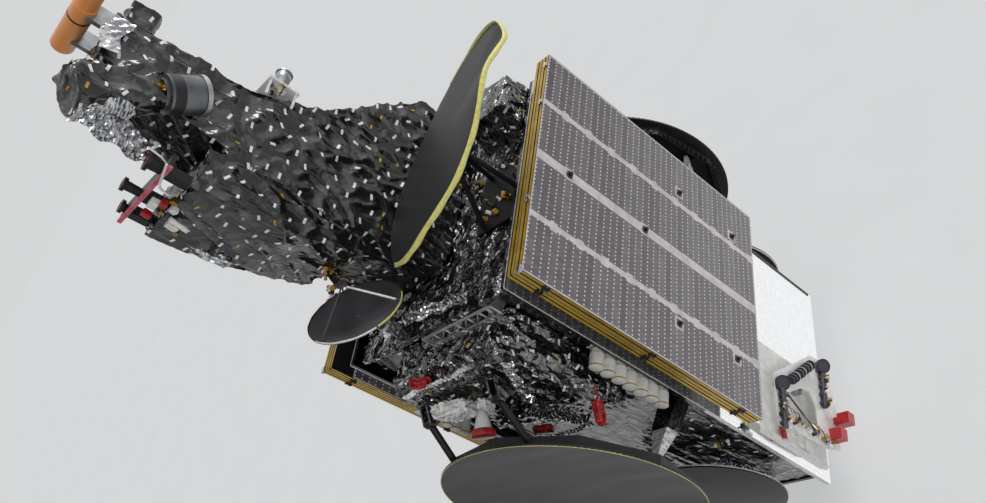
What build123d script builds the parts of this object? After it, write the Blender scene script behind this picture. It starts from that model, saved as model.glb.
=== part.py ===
# Communications satellite with its solar wings and side reflectors stowed,
# standing on its launch adapter ring.
# Millimetres. +Z towards the Earth deck and the antenna tower, +X north, +Y east.
# The origin is the centre of the adapter ring's lower face.
import os
from math import atan2, cos, degrees, hypot, pi, radians, sin, sqrt

from build123d import *

# Bus
radiator_face = 1005.0
radiator_thick = 45.0
radiator_half = 1080.0
radiator_low = 337.0
bus_half_y = 1000.0
bus_low = 400.0
deck_high = 4520.0
bus_high = deck_high - 70
radiator_high = deck_high + 80
deck_half_y = 1040.0
aft_deck_low = 360.0
bus_corner = 40.0

# Solar wings
array_width = 2200.0
array_length = 2828.0
array_top = deck_high + 180
cell_face = radiator_face + 282
panel_thick = 25.0
panel_pitch = 38.0
panel_count = 4
panel_corner = 18.0
hinge_reach = 14.0
hinge_spread = 1150.0
knuckle_r = 9.0
knuckle_h = 18.0
knuckle_gap = 1.0
pin_r = 3.0
pin_clear = 0.3
yoke_tube_r = 17.0
yoke_half = 900.0
root_axis_x = radiator_face + 80
root_knuckle_r = 14.0
drive_r = 78.0
drive_face = radiator_face + 47
hold_top = radiator_face + 90
hold_bolt_r = 11.0
pad_r = 24.0
pad_h = 7.0
# one row per hold-down: place along Y, place along Z
hold_downs = [
    {"y": 0.0, "z": array_top - 360},
    {"y": 0.0, "z": array_top - 1260},
    {"y": 690.0, "z": array_top - 1710},
    {"y": -690.0, "z": array_top - 1710},
    {"y": 660.0, "z": array_top - 2495},
    {"y": -660.0, "z": array_top - 2495},
]

# Launch adapter ring
ring_r = 607.5
ring_lip_r = 540.0
ring_top_r = 800.0
ring_wall = 14.0
ring_flange = 12.0
ring_bolt_pcd = 1120.0
ring_bolt_r = 4.5
ring_bolts = 12

# Canister rows along the west edges
canister_lid = 14.0
canister_x = radiator_face - 127
canister_rows = [
    {"side": 1, "name": "north", "count": 7, "r": 60.0, "len": 205.0, "pitch": 131.0, "first": deck_high - 1030},
    {"side": -1, "name": "south", "count": 6, "r": 46.0, "len": 280.0, "pitch": 104.0, "first": deck_high - 640},
]

# Large side reflectors, one row per side: sign along Y, rim plane, centre, radius
shell = 18.0
large_dishes = [
    {"name": "west", "side": -1, "rim": 1870.0, "x": 20.0, "z": deck_high - 1720, "r": 1120.0, "comb": False},
    {"name": "east", "side": 1, "rim": 1760.0, "x": 0.0, "z": deck_high - 2100, "r": 1180.0, "comb": True},
]
large_depth = 85.0
ring_sides = 10
ring_turn = 8.0
ring_inset = 50.0
frame_depth = 17.0
frame_wall = 24.0
tooth_pitch = 62.0
tooth_wide = 22.0
tooth_reach = 34.0
tooth_high = 26.0
arm_x = 420.0
arm_r = 30.0
hinge_lift = 150.0
dish_hinge_r = 26.0
dish_hinge_w = 60.0

# Small aft reflectors: sign along Y, rim plane, centre, radius
aft_dishes = [
    {"name": "west_aft", "side": -1, "rim": 1250.0, "x": 150.0, "z": 1040.0, "r": 700.0},
    {"name": "east_aft", "side": 1, "rim": 1250.0, "x": 250.0, "z": 1040.0, "r": 700.0},
]
aft_depth = 75.0
aft_hinge_z = 300.0
aft_hinge_y = 1160.0
aft_arm_x = 200.0

# Tower sections, one row per height: z, then the rectangle's edges
tower_sections = [
    {"z": deck_high, "x0": -900.0, "x1": 120.0, "y0": -520.0, "y1": 1030.0},
    {"z": deck_high + 630, "x0": -780.0, "x1": 120.0, "y0": -560.0, "y1": 1000.0},
    {"z": deck_high + 1030, "x0": -760.0, "x1": 120.0, "y0": -640.0, "y1": 640.0},
    {"z": deck_high + 1430, "x0": -740.0, "x1": 120.0, "y0": -640.0, "y1": 260.0},
    {"z": deck_high + 2080, "x0": -560.0, "x1": 110.0, "y0": -560.0, "y1": 50.0},
    {"z": deck_high + 2530, "x0": -470.0, "x1": 105.0, "y0": -500.0, "y1": 25.0},
    {"z": deck_high + 3040, "x0": -330.0, "x1": 95.0, "y0": -400.0, "y1": 15.0},
]
west_arm_sections = [
    {"z": deck_high + 780, "x0": -700.0, "x1": 40.0, "y0": -760.0, "y1": -600.0},
    {"z": deck_high + 1380, "x0": -760.0, "x1": 60.0, "y0": -900.0, "y1": -580.0},
    {"z": deck_high + 2130, "x0": -780.0, "x1": 90.0, "y0": -980.0, "y1": -600.0},
]

# Feeds on the tower
feed_plate_z = deck_high + 2310
# one row per feed: place along X, flange radius
feeds = [
    {"x": -10.0, "r": 68.0, "high": 128.0},
    {"x": -395.0, "r": 52.0, "high": 146.0},
    {"x": -670.0, "r": 52.0, "high": 56.0},
]
feed_y = -900.0
orange_r = 84.0
orange_z = deck_high + 3220
orange_x0 = -400.0
orange_x1 = 420.0
orange_y = -100.0
arm_start = (230.0, -885.0, deck_high + 3070)
arm_end = (230.0, -545.0, deck_high + 2585)
arm_size = 320.0
horn_r = 138.0
horn_len = 300.0
telemetry_place = (40.0, 300.0, deck_high + 1810)

# Oval reflector on the Earth deck
oval_centre = (908.0, -58.0, deck_high + 750)
oval_long = (0.372, 0.927, 0.051)
oval_normal = (-0.176, 0.016, 0.984)
oval_half_long = 1030.0
oval_half_wide = 560.0
oval_bulge = 32.0
oval_shell = 14.0

# Steerable dish on the Earth deck
steer_centre = (-260.0, -1030.0, deck_high + 540)
steer_normal = (0.4, 0.35, 0.85)
steer_r = 400.0
steer_depth = 62.0
steer_base = (-330.0, -960.0)
steer_axis_z = deck_high + 360

# Electric thruster modules on the radiators' aft ends
pod_axis = (0.82, -0.35, 0.45)
thruster_r = 68.0
thruster_len = 84.0
pod_z = 950.0
pod_y = -300.0
pod_reach = 110.0
# one row per red cover box: near corner on the plate, place along Y and Z
cover_size = 118.0
covers = [
    {"x": 62.0, "y": -520.0, "z": 440.0},
    {"x": 12.0, "y": -700.0, "z": 520.0},
]
# one row per thruster: the centre of its mouth
heads = [
    {"x": radiator_face + 230, "y": -530.0, "z": 1420.0},
    {"x": radiator_face + 245, "y": -30.0, "z": 680.0},
]

os.makedirs("parts", exist_ok=True)


def save(solid, label):
    solid.label = label
    export_step(solid, f"parts/{label}.step")
    print(label, len(solid.solids()), "solids", len(solid.faces()), "faces")


def panelOuter(index):
    return cell_face - (panel_count - index) * panel_pitch


def hingeX(index):
    # axis between panel index and the next one out; index 0 is the yoke
    return panelOuter(index) - panel_thick / 2 + panel_pitch / 2


def leaf(axis_x, edge_y, place_z, inner, face_x):
    # half a hinge: inner leaves carry the pin, outer ones the two end knuckles
    side = 1 if edge_y > 0 else -1
    axis_y = edge_y + side * hinge_reach
    lows = [-knuckle_h / 2]
    if not inner:
        lows = [knuckle_h / 2 + knuckle_gap, -1.5 * knuckle_h - knuckle_gap]
    low_x = min(axis_x, face_x)
    high_x = max(axis_x, face_x)
    with BuildPart() as half:
        for low in lows:
            with BuildSketch(Plane.XY.offset(place_z + low)):
                with Locations((axis_x, axis_y)):
                    Circle(knuckle_r)
                with Locations(((low_x + high_x) / 2, (edge_y + axis_y) / 2)):
                    Rectangle(high_x - low_x, hinge_reach)
            extrude(amount=knuckle_h)
        if inner:
            with BuildSketch(Plane.XY.offset(place_z - 1.5 * knuckle_h - knuckle_gap)):
                with Locations((axis_x, axis_y)):
                    Circle(pin_r)
            extrude(amount=3 * knuckle_h + 2 * knuckle_gap)
        else:
            with BuildSketch(Plane.XY.offset(place_z - 2 * knuckle_h)):
                with Locations((axis_x, axis_y)):
                    Circle(pin_r + pin_clear)
            extrude(amount=4 * knuckle_h, mode=Mode.SUBTRACT)
    return half.part


def rod(start, end, radius):
    # round bar between two points
    way = Vector(*end) - Vector(*start)
    with BuildPart() as bar:
        with BuildSketch(Plane(origin=start, z_dir=way)):
            Circle(radius)
        extrude(amount=way.length)
    return bar.part


def tent(sections):
    # ruled loft through level rectangles
    with BuildPart() as wrap:
        for row in sections:
            with BuildSketch(Plane.XY.offset(row["z"])):
                with Locations(((row["x0"] + row["x1"]) / 2, (row["y0"] + row["y1"]) / 2)):
                    Rectangle(row["x1"] - row["x0"], row["y1"] - row["y0"])
        loft(ruled=True)
    return wrap.part


# Bus body with its two radiators and decks
with BuildPart() as bus_body:
    with BuildSketch(Plane.XY.offset(bus_low)):
        Rectangle(2 * (radiator_face - radiator_thick), 2 * bus_half_y)
    extrude(amount=bus_high - bus_low)
    fillet(bus_body.edges().filter_by(Axis.Z), bus_corner)
save(bus_body.part, "bus_body")

with BuildPart() as earth_deck:
    with BuildSketch(Plane.XY.offset(bus_high)):
        RectangleRounded(2 * (radiator_face - radiator_thick), 2 * deck_half_y, 25)
    extrude(amount=deck_high - bus_high)
save(earth_deck.part, "earth_deck")

with BuildPart() as aft_deck:
    with BuildSketch(Plane.XY.offset(aft_deck_low)):
        RectangleRounded(2 * (radiator_face - radiator_thick), 2 * bus_half_y, 25)
    extrude(amount=bus_low - aft_deck_low)
save(aft_deck.part, "aft_deck")

with BuildPart() as north_radiator:
    mid_z = (radiator_low + radiator_high) / 2
    with BuildSketch(Plane.YZ.offset(radiator_face - radiator_thick)):
        with Locations((0, mid_z)):
            RectangleRounded(2 * radiator_half, radiator_high - radiator_low, 12)
    extrude(amount=radiator_thick)
    # heat pipe along the east edge and edge rails outside the bus corners
    with BuildSketch(Plane.XY.offset(radiator_low + 60)):
        with Locations((radiator_face, radiator_half - 22)):
            Circle(14)
    extrude(amount=radiator_high - radiator_low - 120)
save(north_radiator.part, "north_radiator")
save(mirror(north_radiator.part, about=Plane.YZ), "south_radiator")

# Launch adapter ring and apogee engine
with BuildPart() as adapter_ring:
    with BuildSketch(Plane.XZ):
        with BuildLine():
            Polyline(
                (ring_lip_r, 0),
                (ring_r, 0),
                (ring_r, ring_flange),
                (ring_r - 10, 26),
                (ring_r - 10, 60),
                (ring_top_r - 30, 300),
                (ring_top_r, 320),
                (ring_top_r, aft_deck_low),
                (ring_top_r - 60, aft_deck_low),
                (ring_top_r - 60 + ring_wall, 330),
                (ring_r - 10 - ring_wall, 66),
                (ring_r - 10 - ring_wall, ring_flange),
                (ring_lip_r, ring_flange),
                close=True,
            )
        make_face()
    revolve(axis=Axis.Z)
    with BuildSketch(Plane.XY):
        with PolarLocations(ring_bolt_pcd / 2, ring_bolts):
            Circle(ring_bolt_r)
    extrude(amount=ring_flange, mode=Mode.SUBTRACT)
save(adapter_ring.part, "adapter_ring")

with BuildPart() as apogee_engine:
    with BuildSketch(Plane.XZ):
        with BuildLine():
            Polyline((0, aft_deck_low), (90, aft_deck_low), (90, 348), (42, 344), (42, 322), (34, 300))
            ThreePointArc((34, 300), (88, 196), (152, 70))
            Line((152, 70), (146, 70))
            ThreePointArc((146, 70), (82, 190), (26, 296))
            Polyline((26, 296), (0, 310), (0, aft_deck_low))
        make_face()
    revolve(axis=Axis.Z)
save(apogee_engine.part, "apogee_engine")

# Canister rows along both west edges: round feet, waists and nearly flat lids
for row in canister_rows:
    body_r = row["r"]
    lid_r = (body_r**2 + canister_lid**2) / (2 * canister_lid)
    lid_from = degrees(atan2(lid_r - canister_lid, body_r))
    with BuildPart() as canister:
        with BuildSketch(Plane.XZ):
            with BuildLine():
                Polyline(
                    (0, row["len"]),
                    (0, 0),
                    (body_r + 4, 0),
                    (body_r + 4, 14),
                    (body_r - 14, 22),
                    (body_r - 14, 60),
                    (body_r, 72),
                    (body_r, row["len"] - canister_lid),
                )
                CenterArc((0, row["len"] - lid_r), lid_r, lid_from, 90 - lid_from)
            make_face()
        revolve(axis=Axis.Z)
    standing = []
    for index in range(row["count"]):
        place = (row["side"] * canister_x, -bus_half_y, row["first"] - index * row["pitch"])
        standing.append(canister.part.rotate(Axis.X, 90).moved(Location(place)))
    save(Compound(children=standing), f"{row['name']}_canisters")

# Hold-down brackets, one node a side
with BuildPart() as north_hold_downs:
    for spot in hold_downs:
        with BuildSketch(Plane.YZ.offset(radiator_face)):
            with Locations((spot["y"], spot["z"])):
                Circle(44)
        with BuildSketch(Plane.YZ.offset(hold_top)):
            with Locations((spot["y"], spot["z"])):
                Circle(20)
        loft()
save(north_hold_downs.part, "north_hold_downs")
save(mirror(north_hold_downs.part, about=Plane.YZ), "south_hold_downs")

# Solar wing, built for the north side and mirrored to the south
wing_z = array_top - array_length / 2
half_w = array_width / 2
yoke_x = hingeX(0) - panel_pitch / 2

with BuildPart() as drive:
    with BuildSketch(Plane.YZ.offset(radiator_face)):
        with Locations((0, wing_z)):
            Circle(drive_r)
    extrude(amount=drive_face - radiator_face)
    for low in (-62, 34):
        with BuildSketch(Plane.XY.offset(wing_z + low)):
            with Locations(((drive_face + root_axis_x) / 2, 0)):
                Rectangle(root_axis_x - drive_face, 2 * root_knuckle_r)
            with Locations((root_axis_x, 0)):
                Circle(root_knuckle_r)
            with Locations((root_axis_x, 0)):
                Circle(6.3, mode=Mode.SUBTRACT)
        extrude(amount=28)

with BuildPart() as yoke:
    # root knuckle and its pin
    with BuildSketch(Plane.XY.offset(wing_z - 32)):
        with Locations((root_axis_x, 0)):
            Circle(root_knuckle_r)
        with Locations(((root_axis_x + yoke_x) / 2 + 6, 0)):
            Rectangle(yoke_x - root_axis_x + 12, 2 * root_knuckle_r)
    extrude(amount=64)
    with BuildSketch(Plane.XY.offset(wing_z - 62)):
        with Locations((root_axis_x, 0)):
            Circle(6)
    extrude(amount=124)
    with BuildSketch(Plane.YZ.offset(yoke_x - yoke_tube_r)):
        with BuildLine():
            Polyline((-14, wing_z - 32), (60, wing_z - 70), (110, wing_z - 70), (110, wing_z + 70),
                     (60, wing_z + 70), (-14, wing_z + 32), close=True)
        make_face()
    extrude(amount=2 * yoke_tube_r)
    tube_y = half_w - 40
    for side in (1, -1):
        add(rod((yoke_x, 90, wing_z + side * 48), (yoke_x, tube_y, wing_z + side * yoke_half), yoke_tube_r))
        add(rod((yoke_x, tube_y / 2 + 45, wing_z + side * 474), (yoke_x, tube_y, wing_z), yoke_tube_r * 0.6))
        with BuildSketch(Plane.XY.offset(wing_z + side * yoke_half - 40)):
            with Locations((yoke_x, tube_y + 20)):
                Rectangle(2 * yoke_tube_r, 40)
        extrude(amount=80)
        add(leaf(hingeX(0), half_w, wing_z + side * yoke_half, True, yoke_x - yoke_tube_r))
    add(rod((yoke_x, tube_y, wing_z - yoke_half - 30), (yoke_x, tube_y, wing_z + yoke_half + 30), yoke_tube_r))

panels = []
for index in range(1, panel_count + 1):
    outer = panelOuter(index)
    # the yoke's hinge is on the east edge, then the edges alternate
    inner_edge = half_w if index % 2 == 1 else -half_w
    spread = yoke_half if index == 1 else hinge_spread
    with BuildPart() as panel:
        with BuildSketch(Plane.YZ.offset(outer - panel_thick)):
            with Locations((0, wing_z)):
                RectangleRounded(array_width, array_length, panel_corner)
        extrude(amount=panel_thick)
        # bushings on the inner face
        reach = panelOuter(1) - panel_thick - hold_top - 5 if index == 1 else pad_h
        for spot in hold_downs:
            with BuildSketch(Plane.YZ.offset(outer - panel_thick - reach)):
                with Locations((spot["y"], spot["z"])):
                    Circle(pad_r if index > 1 else 16)
            extrude(amount=reach)
        if index < panel_count:
            for spot in hold_downs:
                with BuildSketch(Plane.YZ.offset(outer - 200)):
                    with Locations((spot["y"], spot["z"])):
                        Circle(hold_bolt_r)
                extrude(amount=400, mode=Mode.SUBTRACT)
        else:
            for spot in hold_downs:
                with BuildSketch(Plane.YZ.offset(outer)):
                    with Locations((spot["y"], spot["z"])):
                        Circle(26)
                extrude(amount=8)
                with BuildSketch(Plane.YZ.offset(outer)):
                    with Locations((spot["y"], spot["z"])):
                        Circle(16)
                extrude(amount=34)
        stations = (-1, 1) if index == 1 else (-1, 0, 1)
        for step in stations:
            add(leaf(hingeX(index - 1), inner_edge, wing_z + step * spread, False, outer))
        if index < panel_count:
            for step in (-1, 0, 1):
                place = wing_z + step * hinge_spread
                add(leaf(hingeX(index), -inner_edge, place, True, outer - panel_thick))
    panels.append(panel.part)

for side, name in [(1, "north"), (-1, "south")]:
    pieces = [(drive.part, "drive"), (yoke.part, "yoke")]
    pieces += [(panels[index], f"panel_{index + 1}") for index in range(panel_count)]
    for solid, label in pieces:
        placed = solid if side > 0 else mirror(solid, about=Plane.YZ)
        save(placed, f"{name}_{label}")


# Large side reflectors: shell, comb ring and arms on one hinge line
ring_flat = cos(pi / ring_sides)


def ringHeight(place, ring_round):
    # height of the comb ring's upper side at one place across it
    turns = [radians(ring_turn + index * 360 / ring_sides) for index in range(ring_sides + 1)]
    for here, there in zip(turns, turns[1:]):
        ends = sorted([(cos(here), sin(here)), (cos(there), sin(there))])
        (ax, az), (bx, bz) = [(ring_round * x, ring_round * z) for x, z in ends]
        if az + bz > 0 and ax <= place < bx:
            return az + (bz - az) * (place - ax) / (bx - ax)


def largeDish(row):
    side = row["side"]
    rim_y = side * row["rim"]
    ball_r = (row["r"] ** 2 + large_depth**2) / (2 * large_depth)
    ring_round = row["r"] - ring_inset
    teeth = int(2 * ring_round * sin(pi / ring_sides) / tooth_pitch) - 1
    ball_y = rim_y - side * large_depth + side * ball_r
    hinge_y = rim_y - side * 300
    hinge_z = row["z"] + row["r"] + hinge_lift
    frame_y = rim_y - side * (large_depth + shell + frame_depth)
    away = Plane(origin=(row["x"], frame_y, row["z"]), x_dir=(-side, 0, 0), z_dir=(0, side, 0))
    with BuildPart() as dish:
        with BuildSketch(away):
            Circle(row["r"])
        extrude(amount=frame_depth + shell + large_depth)
        # keep the skin between the two balls
        with Locations((row["x"], ball_y, row["z"])):
            Sphere(ball_r, mode=Mode.SUBTRACT)
            Sphere(ball_r + shell, mode=Mode.INTERSECT)
        # stiffening ring of flat ribs, with two ribs across it
        with BuildSketch(away):
            RegularPolygon(ring_round, ring_sides, rotation=ring_turn)
            RegularPolygon(ring_round - frame_wall, ring_sides, rotation=ring_turn, mode=Mode.SUBTRACT)
            for turn in (0, 90):
                with Locations((0, 0)):
                    Rectangle(frame_wall, 2 * ring_round * ring_flat - 20, rotation=turn)
        extrude(amount=frame_depth + shell + large_depth)
        # comb of clips along the free edge of each rib, on its outer side
        if row["comb"]:
            with BuildSketch(away):
                for index in range(ring_sides):
                    with PolarLocations(0, 1, start_angle=ring_turn + (index + 0.5) * 360 / ring_sides):
                        with GridLocations(tooth_reach, tooth_pitch, 1, teeth):
                            with Locations((ring_round * ring_flat + tooth_reach / 2 - 4, 0)):
                                Rectangle(tooth_reach, tooth_wide)
            extrude(amount=tooth_high)
        with Locations((row["x"], ball_y, row["z"])):
            Sphere(ball_r, mode=Mode.SUBTRACT)
        for place in (-arm_x, arm_x):
            add(rod(
                (row["x"] + place, frame_y + side * 40, row["z"] + ringHeight(-side * place, ring_round) - 14),
                (row["x"] + place, hinge_y, hinge_z),
                arm_r,
            ))
            with BuildSketch(Plane.YZ.offset(row["x"] + place - dish_hinge_w / 2)):
                with Locations((hinge_y, hinge_z)):
                    Circle(dish_hinge_r + 12)
            extrude(amount=dish_hinge_w)
            with BuildSketch(Plane.YZ.offset(row["x"] + place - dish_hinge_w)):
                with Locations((hinge_y, hinge_z)):
                    Circle(9)
            extrude(amount=2 * dish_hinge_w)
    return dish.part, hinge_y, hinge_z


def hingeBracket(centre_x, hinge_y, hinge_z, side, base_y, half_span):
    # two forked stands that carry one reflector's hinge line
    with BuildPart() as stand:
        for place in (-half_span, half_span):
            for low in (-dish_hinge_w / 2 - 22, dish_hinge_w / 2 + 4):
                with BuildSketch(Plane.YZ.offset(centre_x + place + low)):
                    with BuildLine():
                        Polyline(
                            (base_y, hinge_z - 130),
                            (hinge_y + side * 30, hinge_z - 24),
                            (hinge_y + side * 30, hinge_z + 24),
                            (base_y, hinge_z + 110),
                            close=True,
                        )
                    make_face()
                    with Locations((hinge_y, hinge_z)):
                        Circle(9.4, mode=Mode.SUBTRACT)
                extrude(amount=18)
            with BuildSketch(Plane.XZ.offset(-base_y)):
                with Locations((centre_x + place, hinge_z - 10)):
                    Rectangle(2 * dish_hinge_w + 30, 270)
            extrude(amount=-side * 14)
    return stand.part


module_west_y = -1440.0
module_east_y = 1370.0
with BuildPart() as west_module:
    add(tent([
        {"z": deck_high - 1620, "x0": -480.0, "x1": 700.0, "y0": -1200.0, "y1": -bus_half_y},
        {"z": deck_high - 1020, "x0": -540.0, "x1": 780.0, "y0": module_west_y, "y1": -bus_half_y},
        {"z": deck_high - 220, "x0": -540.0, "x1": 780.0, "y0": module_west_y, "y1": -bus_half_y},
        {"z": deck_high - 80, "x0": -480.0, "x1": 700.0, "y0": -1340.0, "y1": -bus_half_y},
    ]))
    # open corner beside the south canisters, with the hinge stand's outrigger above it
    with Locations((-560, -1500, deck_high - 1700)):
        Box(350, 600, 1060, align=(Align.MIN, Align.MIN, Align.MIN), mode=Mode.SUBTRACT)
save(west_module.part, "west_module")
with BuildPart() as east_module:
    add(tent([
        {"z": deck_high - 1770, "x0": -640.0, "x1": 640.0, "y0": bus_half_y, "y1": 1160.0},
        {"z": deck_high - 1270, "x0": -700.0, "x1": 700.0, "y0": bus_half_y, "y1": module_east_y},
        {"z": deck_high - 320, "x0": -700.0, "x1": 700.0, "y0": bus_half_y, "y1": module_east_y},
        {"z": deck_high - 100, "x0": -640.0, "x1": 640.0, "y0": bus_half_y, "y1": 1250.0},
    ]))
save(east_module.part, "east_module")

for row in large_dishes:
    dish, hinge_y, hinge_z = largeDish(row)
    base_y = module_west_y if row["side"] < 0 else module_east_y
    save(dish, f"{row['name']}_reflector")
    save(hingeBracket(row["x"], hinge_y, hinge_z, row["side"], base_y, arm_x), f"{row['name']}_bracket")
    print("hinge", row["name"], hinge_y, hinge_z)

# Release brackets between the bus sides and the large reflectors
# one row per section: distance from the bus centre plane, shift from the tip along X and Z, width, height
brackets = []
for row in large_dishes:
    tip_x = row["x"] + row["r"] * 0.835
    tip_z = row["z"] + 70
    sections = [
        {"y": bus_half_y, "dx": -205.0, "dz": -490.0, "w": 200.0, "h": 170.0},
        {"y": row["rim"] - 510, "dx": -95.0, "dz": -250.0, "w": 170.0, "h": 150.0},
        {"y": row["rim"] - 95, "dx": 0.0, "dz": 0.0, "w": 34.0, "h": 30.0},
    ]
    with BuildPart() as bracket:
        for cut in sections:
            with BuildSketch(Plane.XZ.offset(-row["side"] * cut["y"])):
                with Locations((tip_x + cut["dx"], tip_z + cut["dz"])):
                    Rectangle(cut["w"], cut["h"])
        loft(ruled=True)
    brackets.append(bracket.part)
save(Compound(children=brackets), "release_brackets")

# Aft reflectors
for row in aft_dishes:
    side = row["side"]
    rim_y = side * row["rim"]
    ball_r = (row["r"] ** 2 + aft_depth**2) / (2 * aft_depth)
    # these open towards the bus
    ball_y = rim_y + side * aft_depth - side * ball_r
    back = Plane(origin=(row["x"], rim_y, row["z"]), x_dir=(1, 0, 0), z_dir=(0, side, 0))
    hinge_y = side * aft_hinge_y
    with BuildPart() as dish:
        with BuildSketch(back):
            Circle(row["r"])
        extrude(amount=aft_depth + shell)
        with Locations((row["x"], ball_y, row["z"])):
            Sphere(ball_r, mode=Mode.SUBTRACT)
            Sphere(ball_r + shell, mode=Mode.INTERSECT)
        for place in (-aft_arm_x, aft_arm_x):
            low_z = row["z"] - sqrt(row["r"] ** 2 - aft_arm_x**2) + 12
            add(rod((row["x"] + place, rim_y + side * 6, low_z + 10), (row["x"] + place, hinge_y, aft_hinge_z), 18))
            with BuildSketch(Plane.YZ.offset(row["x"] + place - 25)):
                with Locations((hinge_y, aft_hinge_z)):
                    Circle(26)
            extrude(amount=50)
            with BuildSketch(Plane.YZ.offset(row["x"] + place - 50)):
                with Locations((hinge_y, aft_hinge_z)):
                    Circle(7)
            extrude(amount=100)
    save(dish.part, f"{row['name']}_reflector")
    with BuildPart() as stand:
        for place in (-aft_arm_x, aft_arm_x):
            for low in (-49, 31):
                with BuildSketch(Plane.YZ.offset(row["x"] + place + low)):
                    with BuildLine():
                        Polyline(
                            (side * bus_half_y, aft_hinge_z + 240),
                            (hinge_y + side * 20, aft_hinge_z + 22),
                            (hinge_y + side * 20, aft_hinge_z - 22),
                            (side * bus_half_y, aft_hinge_z + 110),
                            close=True,
                        )
                    make_face()
                    with Locations((hinge_y, aft_hinge_z)):
                        Circle(7.4, mode=Mode.SUBTRACT)
                extrude(amount=18)
    save(stand.part, f"{row['name']}_bracket")

# Tower
tower = tent(tower_sections)
save(tower, "tower")
west_arm = tent(west_arm_sections) - tower
save(west_arm, "west_feed_arm")

with BuildPart() as feed_cluster:
    plate_low = feeds[-1]["x"] - 95
    plate_high = feeds[0]["x"] + 150
    for spot in feeds:
        with BuildSketch(Plane.XZ.offset(-feed_y)):
            with BuildLine():
                Polyline(
                    (spot["x"], feed_plate_z + 10), (spot["x"] + spot["r"] * 0.62, feed_plate_z + 10),
                    (spot["x"] + spot["r"] * 0.7, feed_plate_z + spot["high"] - 24),
                    (spot["x"] + spot["r"], feed_plate_z + spot["high"] - 20),
                    (spot["x"] + spot["r"], feed_plate_z + spot["high"]),
                    (spot["x"], feed_plate_z + spot["high"]), close=True,
                )
            make_face()
        revolve(axis=Axis((spot["x"], feed_y, 0), (0, 0, 1)))
    with BuildSketch(Plane.XY.offset(feed_plate_z - 14)):
        with Locations(((plate_low + plate_high) / 2, feed_y)):
            RectangleRounded(plate_high - plate_low, 130, 20)
    extrude(amount=28)
    for spot in feeds:
        with BuildSketch(Plane.XY.offset(west_arm_sections[-1]["z"])):
            with Locations((spot["x"], feed_y)):
                Rectangle(86, 76)
        extrude(amount=feed_plate_z - 14 - west_arm_sections[-1]["z"])
save(feed_cluster.part, "west_feed_cluster")

# Arm and large feed horn at the tower head
arm_way = Vector(*arm_end) - Vector(*arm_start)
arm_plane = Plane(origin=arm_start, x_dir=(1, 0, 0), z_dir=arm_way)
with BuildPart() as horn_arm:
    with BuildSketch(arm_plane):
        RectangleRounded(arm_size, arm_size, 60)
    with BuildSketch(arm_plane.offset(arm_way.length)):
        RectangleRounded(arm_size * 0.8, arm_size * 0.8, 60)
    loft()
arm_solid = horn_arm.part - tower
save(arm_solid, "horn_arm")

with BuildPart() as east_horn:
    with BuildSketch(arm_plane.offset(arm_way.length)):
        Circle(horn_r * 0.8)
    extrude(amount=40)
    with BuildSketch(arm_plane.offset(arm_way.length + 30)):
        Circle(horn_r)
    extrude(amount=horn_len - 40)
    with BuildSketch(arm_plane.offset(arm_way.length + horn_len - 20)):
        Circle(horn_r + 8)
    extrude(amount=30)
save(east_horn.part - tower, "east_feed_horn")

with BuildPart() as orange_horn:
    with BuildSketch(Plane.YZ.offset(orange_x0)):
        with Locations((orange_y, orange_z)):
            Circle(orange_r)
    extrude(amount=(orange_x1 - orange_x0) * 0.62)
    with BuildSketch(Plane.YZ.offset(orange_x0 + (orange_x1 - orange_x0) * 0.62)):
        with Locations((orange_y, orange_z)):
            Circle(orange_r - 8)
    extrude(amount=(orange_x1 - orange_x0) * 0.38)
save(orange_horn.part, "orange_horn")

tower_high = tower_sections[-1]["z"]
with BuildPart() as orange_cradle:
    for place in (-260, 40):
        with BuildSketch(Plane.YZ.offset(place)):
            with Locations((orange_y, (tower_high + orange_z) / 2)):
                Rectangle(150, orange_z - tower_high)
            with Locations((orange_y, orange_z)):
                Circle(orange_r, mode=Mode.SUBTRACT)
        extrude(amount=40)
save(orange_cradle.part, "orange_cradle")

with BuildPart() as top_unit:
    with BuildSketch(Plane.XZ.offset(-15)):
        with Locations((-20, tower_high - 160)):
            Rectangle(210, 230)
    extrude(amount=-200)
save(top_unit.part - tower, "top_unit")

# Small telemetry horn on its frame, east side of the tower
tx, ty, tz = telemetry_place
with BuildPart() as telemetry_horn:
    with BuildSketch(Plane.XY):
        with BuildLine():
            Polyline((0, 60), (38, 60), (38, 110), (62, 200), (62, 250), (70, 250), (70, 262), (0, 262), close=True)
        make_face()
    revolve(axis=Axis.Y)
horn_solid = telemetry_horn.part.moved(Location((tx, ty - 140, tz)))
with BuildPart() as telemetry_frame:
    with Locations((tx, ty - 90, tz)):
        Box(260, 20, 260)
    for px, pz in [(-110, -110), (110, -110), (-110, 110), (110, 110)]:
        with Locations((tx + px, ty - 170, tz + pz)):
            Box(18, 160, 18)
save(horn_solid, "telemetry_horn")
save(telemetry_frame.part - tower, "telemetry_frame")

# Blanketed unit on the deck's north-east corner
with BuildPart() as deck_unit:
    add(tent([
        {"z": deck_high, "x0": 420.0, "x1": 955.0, "y0": 560.0, "y1": deck_half_y},
        {"z": deck_high + 330, "x0": 500.0, "x1": 930.0, "y0": 640.0, "y1": 1010.0},
    ]))
save(deck_unit.part, "deck_unit")

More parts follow.
